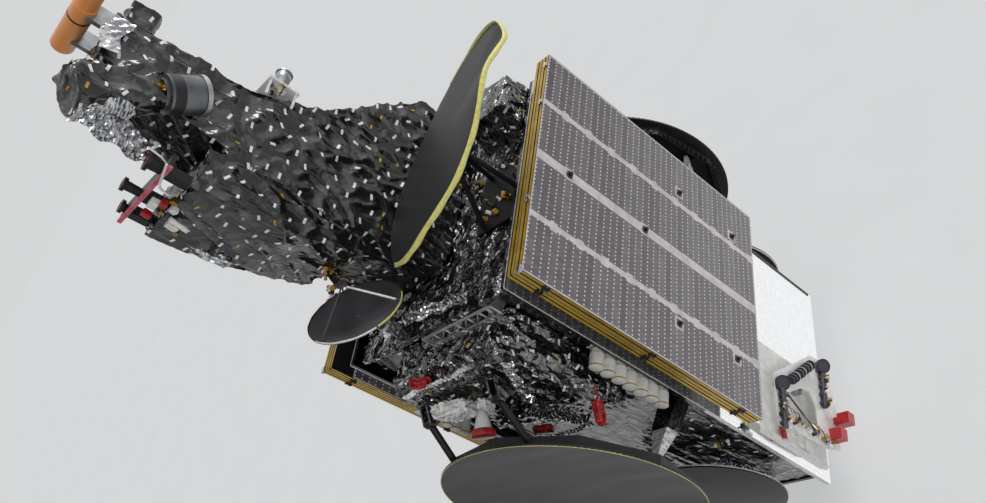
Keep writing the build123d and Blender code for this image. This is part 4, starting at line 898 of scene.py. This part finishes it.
# crumpled covers and foil
def addBag(name, centre, size, material, seed, depth, turn, slotName=None):
    # a loose bag of film over a part: a rounded lump, pulled in and creased
    clearSelection()
    bpy.ops.mesh.primitive_ico_sphere_add(subdivisions=5, radius=0.5)
    bag = bpy.context.object
    for vertex in bag.data.vertices:    # a box-like lump rather than a ball
        co = vertex.co
        stretch = 0.5 / max(abs(co.x), abs(co.y), abs(co.z))
        vertex.co = co * (0.45 + 0.55 * stretch)
    bag.scale = size
    bag.rotation_euler = [math.radians(a) for a in turn]
    bag.location = centre
    applyPlace(bag)
    reach = min(size)
    crumple(bag, [("VORONOI", valleys, 0.07, 0.32 * reach * depth, (0.7, 1, 1.6), 0.55),
                  ("CLOUDS", {"noise_basis": "VORONOI_F2_F1", "noise_depth": 1}, 0.05, 0.12 * reach * depth,
                   (1, 1, 1), 0.5)], seed)
    return finishPiece(smoothBy(bag, 30), name, "bus", material)


# centre, size, film, seed, depth of the creases, turn in degrees
bags = {
    "hornFootFoil": ((-0.08, -1.535, 4.07), (0.40, 0.17, 0.36), whiteFoil, 21, 1.6, (20, 20, 10)),
    "hornSideFoil": ((0.13, -1.50, 3.93), (0.11, 0.12, 0.30), whiteFoil, 22, 1.5, (10, 30, 0)),
    "sensorRedBag": ((-0.12, -1.43, 4.42), (0.20, 0.13, 0.16), redCover, 23, 1.6, (30, 20, 0), "red_cover"),
    "cornerRedBag": ((0.735, -1.40, 3.30), (0.10, 0.38, 0.11), redCover, 24, 1.5, (12, 0, 8), "red_cover"),
    "hingeRedBag": ((0.17, -1.47, 3.34), (0.22, 0.07, 0.10), redCover, 25, 1.4, (0, 25, 0), "red_cover"),
    "headSilverFlap": ((-0.30, -0.47, 7.20), (0.10, 0.10, 0.46), silverFilm, 29, 1.6, (8, 22, 0)),
    "armSilverFlap": ((-0.64, -0.93, 6.60), (0.22, 0.10, 0.12), silverFilm, 30, 1.6, (0, 20, 0)),
    "armSilverEdge": ((-0.70, -0.90, 6.25), (0.13, 0.13, 0.60), silverFilm, 31, 0.9, (0, -4, 0)),
    "hornCollarFilm": ((0.23, -0.575, 7.15), (0.26, 0.10, 0.26), goldFilm, 32, 1.2, (35, 0, 0)),
}
for name, bag in bags.items():
    addBag(name, *bag)
print("stage: bags and foil")

pleated = {"lengthSteps": 90, "widthSteps": 10, "waves": 5, "sway": 0.12, "swayRate": 23, "thick": 0.0008}


def addPleatedStrip(name, points, width, facing, pleatMm, depth, seed, restsOn):
    # a strip of film laid along points and gathered into pleats, as on a blanket's seam
    clearSelection()
    bpy.ops.mesh.primitive_grid_add(x_subdivisions=pleated["lengthSteps"], y_subdivisions=pleated["widthSteps"], size=1)
    strip = bpy.context.object
    spots = [Vector(p) for p in points]
    out = Vector(facing).normalized()
    lengths = [0.0]
    for a, b in zip(spots, spots[1:]):
        lengths.append(lengths[-1] + (b - a).length)
    for vertex in strip.data.vertices:
        along = (vertex.co.x + 0.5) * lengths[-1]
        k = max(i for i in range(len(spots) - 1) if lengths[i] <= along + 1e-9)
        part = (along - lengths[k]) / max(lengths[k + 1] - lengths[k], 1e-9)
        run = spots[k + 1] - spots[k]
        side = run.normalized().cross(Vector(facing)).normalized()
        vertex.co = spots[k] + run * part + side * vertex.co.y * width
    draw = random.Random(seed)
    run = (spots[-1] - spots[0]).normalized()
    side = run.cross(out).normalized()
    waves = [(draw.uniform(0.7, 1.4), draw.uniform(0, 6), draw.uniform(-1.2, 1.2)) for k in range(pleated["waves"])]
    for vertex in strip.data.vertices:
        along = (vertex.co - spots[0]).dot(run)
        across = (vertex.co - spots[0]).dot(side)
        lift = sum(abs(math.sin(math.pi * (along + lean * across) / (pleatMm / 1000) * rate + offset))
                   for rate, offset, lean in waves)
        vertex.co += out * (lift / len(waves)) * depth
        vertex.co += side * pleated["sway"] * width * math.sin(along * pleated["swayRate"] + seed)
    thicken(strip, pleated["thick"], -1)
    smoothBy(strip, 30)
    finishPiece(strip, name, "bus", pleatedSilver)
    return strip


faceY = -1.452    # the west module's outer face
# points, width, side that shows, pleat in mm, depth of the pleats, seed, what it lies on
strips = {
    "moduleSeamWest": ([(0.76, faceY, 4.30), (0.638, faceY, 4.106), (0.497, faceY, 3.87), (0.40, faceY, 3.74)],
                       0.085, (0, -1, 0), 34, 0.030, 61, "westModuleBlanket"),
    "moduleFlapWest": ([(0.34, faceY, 3.66), (0.48, faceY, 3.48), (0.63, faceY, 3.28)],
                       0.19, (0, -1, 0), 45, 0.045, 62, "westModuleBlanket"),
    "moduleSeamNorth": ([(0.60, faceY, 3.20), (0.30, faceY, 3.17), (0.02, faceY, 3.20)],
                        0.06, (0, -1, 0), 40, 0.025, 63, "westModuleBlanket"),
    "trussFilm": ([(0.17, -1.250, 4.545), (0.55, -1.251, 4.548), (0.92, -1.250, 4.545)],
                  0.045, (0, -1, -0.2), 60, 0.012, 64, "west_truss"),
    "deckSeamWest": ([(-0.60, -0.90, 4.545), (-0.17, -0.86, 4.545), (0.16, -0.90, 4.545), (0.52, -0.93, 4.545)],
                     0.10, (0, -0.3, 1), 45, 0.040, 65, "deckBlanket"),
    "deckCornerSeam": ([(0.93, -0.90, 4.560), (0.88, -1.045, 4.535)],
                       0.09, (0, -0.2, 1), 40, 0.030, 66, "deckBlanket"),
    "aftFilmWest": ([(0.42, -1.035, 1.30), (0.49, -1.035, 1.02), (0.57, -1.035, 0.72)],
                    0.12, (0, -1, 0), 40, 0.035, 67, "busBlanket"),
    "moduleEdgeSouth": ([(-0.40, faceY, 4.36), (-0.20, faceY, 4.40), (0.16, faceY, 4.38), (0.50, faceY, 4.41)],
                        0.05, (0, -1, 0), 50, 0.022, 68, "westModuleBlanket"),
    "armFoilUnder": ([(0.251, -0.968, 7.493), (0.187, -0.938, 7.396), (0.127, -0.898, 7.30),
                      (0.027, -0.848, 7.121), (-0.032, -0.798, 6.947)],
                     0.17, (0.6, -0.75, -0.25), 80, 0.060, 71, "towerBlanket"),
    "collarFoil": ([(0.375, -0.935, 7.385), (0.350, -0.89, 7.30), (0.300, -0.825, 7.21)],
                   0.12, (0.35, -0.75, -0.55), 70, 0.040, 72, "towerBlanket"),
    "headFoilNorth": ([(0.115, -0.06, 7.50), (0.115, -0.22, 7.515), (0.112, -0.37, 7.50)],
                      0.14, (1, -0.1, 0.1), 75, 0.040, 73, "towerBlanket"),
    "headFoilWest": ([(0.09, -0.425, 7.50), (-0.10, -0.44, 7.50), (-0.36, -0.44, 7.47)],
                     0.17, (0.1, -1, 0.15), 75, 0.045, 74, "towerBlanket"),
}
for name, strip in strips.items():
    addPleatedStrip(name, *strip)
print("stage: pleated strips")

# a dark band and a bright lip on the east feed horn, a strap on the orange one, a red cover on the side horn
eastHornPlace = placeOn((0.230, -0.545, 7.105), (0, 0.574, -0.819))
sideHorn = {"foot": (0.02, -1.44, 3.902), "tilt": math.radians(107), "wall": 0.002}
hornTrim = {
    "eastHornBand": ([(0.137, 0.048), (0.1395, 0.050), (0.1395, 0.128), (0.137, 0.130)], eastHornPlace, blackPaint),
    "eastHornLip": ([(0.143, 0.278), (0.1475, 0.280), (0.1475, 0.312), (0.138, 0.3125), (0.138, 0.309),
                     (0.143, 0.308)], eastHornPlace, bareAluminium),
    "orangeHornStrap": ([(0.083, -0.009), (0.0855, -0.008), (0.0855, 0.008), (0.083, 0.009)],
                        placeOn((-0.03, -0.10, 7.74), (1, 0, 0)), blackPaint),
}
for name, (profile, place, material) in hornTrim.items():
    finishPiece(addTurned(profile, place, 40, True), name, "bus", material)
cover = addTurned([(0.086, 0.205), (0.091, 0.212), (0.099, 0.244), (0.099, 0.260), (0.090, 0.266), (0.0, 0.264)],
                  placeOn(sideHorn["foot"], (0, -math.sin(sideHorn["tilt"]), math.cos(sideHorn["tilt"]))), 40)
thicken(cover, sideHorn["wall"], 1)
finishPiece(cover, "sideHornCover", "bus", redCover)

# feeds at the tower's west arm; discs are (x, radius, height over the plate)
feed = {"y": -0.900, "plate": 6.830, "front": -0.975,
        "discs": [(-0.010, 0.068, 0.128), (-0.395, 0.052, 0.146), (-0.670, 0.052, 0.056)],
        "rods": [([(0.212, -0.955, 7.019), (0.200, -0.958, 6.96), (0.191, -0.96, 6.90), (0.10, -0.93, 6.845)],
                  0.007, 12, True),
                 ([(0.186, -0.985, 6.868), (0.02, -0.985, 6.83), (-0.115, -0.985, 6.804), (-0.124, -0.985, 6.72)],
                  0.009, 12, True),
                 ([(-0.364, -1.0, 6.60), (-0.395, -1.0, 6.46)], 0.022, 16)],
        "blocks": {whiteTape: [((0.09, 0.05, 0.06), (-0.30, -0.99, 6.755)), ((0.06, 0.04, 0.09), (-0.44, -1.0, 6.55)),
                               ((0.05, 0.05, 0.05), (-0.25, -0.99, 6.62))],
                   redCover: [((0.06, 0.05, 0.05), (-0.245, -0.99, 6.70)), ((0.05, 0.05, 0.07), (-0.46, -0.99, 6.74))],
                   brass: [((0.05, 0.05, 0.04), (-0.482, -1.0, 6.50)), ((0.05, 0.04, 0.03), (-0.35, -0.99, 6.68)),
                           ((0.04, 0.05, 0.05), (-0.16, -0.985, 6.66))]}}
bar = addBlock((0.93, 0.022, 0.034), Matrix.Translation((-0.30, feed["front"] + 0.006, feed["plate"] + 0.004)), 0.005)
finishPiece(bar, "feedRedBar", "bus", pinkBar)
discs = [addTurned([(0.0, 0.0), (radius - 0.004, 0.0), (radius + 0.002, 0.003), (radius + 0.002, 0.007),
                    (radius * 0.72, 0.009), (radius * 0.66, 0.005), (0.0, 0.005)],
                   Matrix.Translation((x, feed["y"], feed["plate"] + high - 0.001)), 28)
         for x, radius, high in feed["discs"]]
finishPiece(joinPieces(discs, "discs"), "feedDiscs", "bus", maroonCap)
finishPiece(joinPieces([addRod(*rod) for rod in feed["rods"]], "rods"), "feedWhiteRods", "bus", whiteTape)
for material, rows in feed["blocks"].items():
    made = [addBlock(size, Matrix.Translation(middle) @ Matrix.Rotation(0.2 * k, 4, "Y"), 0.005)
            for k, (size, middle) in enumerate(rows)]
    finishPiece(joinPieces(made, "blocks"), f"feedBlocks{material.name[:5]}", "bus", material)
print("stage: feeds")

# canisters' tape rings and end seams
canisterRow = {"north": {"count": 7, "r": 0.060, "len": 0.205, "pitch": 0.131, "first": 3.490},
               "south": {"count": 6, "r": 0.046, "len": 0.280, "pitch": 0.104, "first": 3.880}}
for side, row in canisterRow.items():
    inner, outer = row["r"] - 0.001, row["r"] + 0.0014
    ring = addTurned([(inner, -0.007), (outer, -0.006), (outer, 0.006), (inner, 0.007)], upright, 24, True)
    places = [placeOn((sides[side] * 0.878, y, row["first"] - step * row["pitch"]), (0, -1, 0))
              for step in range(row["count"]) for y in (-1.0 - 0.16 * row["len"], -1.0 - row["len"] + 0.022)]
    finishPiece(copiesOf(ring, places, "rings"), f"{side}CanisterTape", "bus", amberTape)
print("stage: canister tape")

# small plumbing parts, each standing on z = 0 and one unit big, copied at 8 to 29 mm
fittings = {
    "nut": addTurned([(0.0, 0.0), (1.0, 0.0), (1.0, 0.9), (0.55, 1.0), (0.5, 2.0), (0.62, 2.1), (0.62, 2.6),
                      (0.0, 2.6)], upright, 6),
    "valve": addTurned([(0.0, 0.0), (1.1, 0.0), (1.1, 0.35), (0.8, 0.5), (0.8, 2.2), (0.5, 2.5), (0.0, 2.5)],
                       upright, 16),
    "box": addBlock((2.2, 1.6, 1.8), Matrix.Translation((0, 0, 0.9)), 0.18),
}
kinds = list(fittings)


def addFitting(kind, size, place):
    return copyAt(fittings[kind], place @ Matrix.Scale(size, 4))


# thruster modules' plumbing
pod = {"plate": 1.177, "heads": [(1.235, -0.53, 1.42), (1.250, -0.03, 0.68)], "axis": (0.82, -0.35, 0.45),
       "columnX": 1.209, "columnR": 0.026, "columnLong": 0.37, "onColumn": 9, "capR": 0.0695,
       "edgeLow": 0.50, "edgeLong": 0.86, "onEdge": 16, "edgePipes": 12, "headPipes": 4,
       "drum": (0.046, -0.44, 1.27), "drumWay": Vector((0, 0.35, -0.40)), "ribs": (0.2, 0.5, 0.8),
       "hooks": [(-1.035, 1.75), (-0.86, 1.62), (-0.20, 1.66), (0.62, 1.70), (0.99, 1.58)], "hookX": 1.005}
for side, sign in sides.items():
    draw = random.Random(7 if sign > 0 else 8)
    plate, capR = pod["plate"], pod["capR"]
    made = {brass: [], blackPaint: [], whiteTape: [], bareAluminium: []}
    spots = []
    for x, y, z in pod["heads"]:
        for step in range(pod["onColumn"]):
            along = -0.06 - pod["columnLong"] * (step + draw.uniform(0.1, 0.9)) / pod["onColumn"]
            turn = draw.uniform(-1.2, 1.2)
            spots.append(((pod["columnX"] + pod["columnR"] * math.cos(turn), y + along,
                           z - 0.03 + pod["columnR"] * math.sin(turn)),
                          (math.cos(turn), draw.uniform(-0.3, 0.3), math.sin(turn)), draw.uniform(0.011, 0.019)))
    # a crowd of fittings along the plate's west edge
    for step in range(pod["onEdge"]):
        z = pod["edgeLow"] + pod["edgeLong"] * (step + draw.uniform(0, 1)) / pod["onEdge"]
        spots.append(((plate - 0.001, draw.uniform(-0.84, -0.76), z), (1, draw.uniform(-0.3, 0.3), 0.1),
                      draw.uniform(0.012, 0.023)))
    for k, ((x, y, z), facing, size) in enumerate(spots):
        material = (brass, blackPaint, whiteTape, bareAluminium, brass, blackPaint)[k % 6]
        place = placeOn((x * sign, y, z), (facing[0] * sign, facing[1], facing[2]), draw.uniform(0, 3))
        made[material].append(addFitting(kinds[k % 3], size, place))
    # bent feed pipes along the plate's edge
    for k in range(pod["edgePipes"]):
        x, z = plate + 0.014, 0.60 + 0.068 * k
        points = [(x, -0.83 + 0.004 * k, z - 0.07), (x + 0.03, -0.82, z), (x + 0.045, -0.80 + 0.008 * k, z + 0.05),
                  (x + 0.012, -0.74 + 0.012 * (k % 4), z + 0.09)]
        made[(brass, bareAluminium, blackPaint)[k % 3]].append(
            addRod([(a * sign, b, c) for a, b, c in points], 0.0045, 8, True))
    # and at each thruster, with the cap's lip
    facing = Vector((pod["axis"][0] * sign, pod["axis"][1], pod["axis"][2])).normalized()
    lip = addTurned([(capR - 0.012, 0.0), (capR + 0.001, 0.0), (capR + 0.003, 0.003), (capR + 0.001, 0.006),
                     (capR - 0.012, 0.007)], upright, 32, True)
    for x, y, z in pod["heads"]:
        for k in range(pod["headPipes"]):
            points = [(plate + 0.01, y - 0.10 - 0.03 * k, z - 0.11), (plate + 0.05, y - 0.12 - 0.03 * k, z - 0.08),
                      (plate + 0.055, y - 0.09 - 0.04 * k, z - 0.03), (plate + 0.04, y - 0.05 - 0.04 * k, z)]
            made[(brass, blackPaint)[k % 2]].append(addRod([(a * sign, b, c) for a, b, c in points], 0.005, 8, True))
        made[blackPaint].append(copyAt(lip, placeOn(Vector((x * sign, y, z)) - facing * 0.004, facing)))
    bpy.data.objects.remove(lip)
    # silver ribs round the cable drum
    rib = addTurned([(0.050, -0.006), (0.0535, -0.005), (0.0535, 0.005), (0.050, 0.006)], upright, 28, True)
    middles = [Vector((plate + pod["drum"][0], *pod["drum"][1:])) + pod["drumWay"] * share for share in pod["ribs"]]
    made[bareAluminium].append(copiesOf(rib, [placeOn((middle.x * sign, middle.y, middle.z), pod["drumWay"])
                                              for middle in middles], "ribs"))
    for material, parts in made.items():
        finishPiece(joinPieces(parts, "parts"), f"{side}PodFittings{material.name[:4].capitalize()}",
                    f"{side}_thrusters", material)
    # red safing bar and small hooks on the radiator above
    red = addBlock((0.034, 0.13, 0.05), Matrix.Translation((sign * 1.066, -0.885, 1.20)) @ Matrix.Rotation(0.3, 4, "X"),
                   0.006)
    finishPiece(red, f"{side}SafingBar", "bus", redCover)
    hook = joinPieces([addRod([(0, 0, 0), (sign * 0.035, 0, 0.005), (sign * 0.045, -0.03, 0.03),
                               (sign * 0.030, -0.05, 0.06)], 0.008, 8, True),
                       addBlock((0.014, 0.05, 0.04), Matrix.Translation((sign * 0.007, 0, 0)), 0.003)], "hook")
    hooks = copiesOf(hook, [Matrix.Translation((sign * pod["hookX"], y, z)) for y, z in pod["hooks"]], "hooks")
    finishPiece(hooks, f"{side}RadiatorHooks", "bus", blackPaint)
    print("stage: thruster module", side)


# connectors and small units among the blankets
def addConnectors(name, centre, facing, spread, count, seed, size):
    # a crowd of harness connectors: brass shells, dark boots, white sleeves and amber wraps
    draw = random.Random(seed)
    facing = Vector(facing).normalized()
    across = facing.orthogonal().normalized()
    up = facing.cross(across)
    parts = {brass: [], blackPaint: [], whiteTape: [], amberTape: []}
    finishes = list(parts)
    for k in range(count):
        spot = Vector(centre) + across * draw.uniform(-1, 1) * spread[0] + up * draw.uniform(-1, 1) * spread[1]
        tilt = (facing + across * draw.uniform(-0.5, 0.5) + up * draw.uniform(-0.5, 0.5)).normalized()
        big = size * draw.uniform(0.7, 1.3)
        place = placeOn(spot - facing * size * 0.4, tilt, draw.uniform(0, 3))
        parts[finishes[k % 4]].append(addFitting(kinds[k % 3], big, place))
    for material, made in parts.items():
        finishPiece(joinPieces(made, "made"), f"{name}{material.name[:4].capitalize()}", "bus", material)


# centre, facing, spread to each side, count, seed, size
connectors = {
    "telemetryFoot": ((0.04, 0.222, 6.33), (0, 1, 0), (0.10, 0.10), 10, 51, 0.014),
    "telemetryPlate": ((0.095, 0.199, 6.345), (0, -1, 0), (0.065, 0.060), 12, 59, 0.012),
    "armFootWest": ((-0.30, -0.768, 5.335), (0, -0.97, -0.23), (0.07, 0.07), 10, 52, 0.018),
    "deckCornerSouth": ((-0.80, -0.62, 5.02), (-0.1, -1, 0.2), (0.12, 0.06), 12, 53, 0.022),
    "ovalFootNorth": ((0.66, -0.10, 4.545), (0, 0, 1), (0.14, 0.20), 12, 54, 0.020),
    "ovalFootSouth": ((0.32, 0.33, 4.545), (0, 0, 1), (0.10, 0.14), 8, 55, 0.020),
    "deckEdgeNorth": ((0.84, 0.20, 4.545), (0, 0, 1), (0.06, 0.30), 10, 56, 0.018),
    "westWall": ((0.66, -1.035, 1.56), (0, -1, 0), (0.10, 0.07), 8, 58, 0.018),
    "headWest": ((-0.10, -0.43, 7.42), (0, -1, 0), (0.20, 0.10), 8, 57, 0.016),
}
for name, crowd in connectors.items():
    addConnectors(name, *crowd)
for model in fittings.values():
    bpy.data.objects.remove(model)
print("stage: connectors")

# square tape rings round the hold-down cups
for side, sign in sides.items():
    square = addTurned([(0.050, 0.0), (0.078, 0.0), (0.078, 0.0012), (0.050, 0.0012)], upright, 4, True)
    squares = copiesOf(square, [placeOn((sign * wing["cupsOn"], y, z), (sign, 0, 0), math.radians(45))
                                for y, z in wing["cups"]], "squares")
    activate(squares)
    bpy.ops.object.shade_flat()
    finishPiece(squares, f"{side}CupSurrounds", f"{side}_panel_4", bandFilm)
print("stage: cup surrounds")
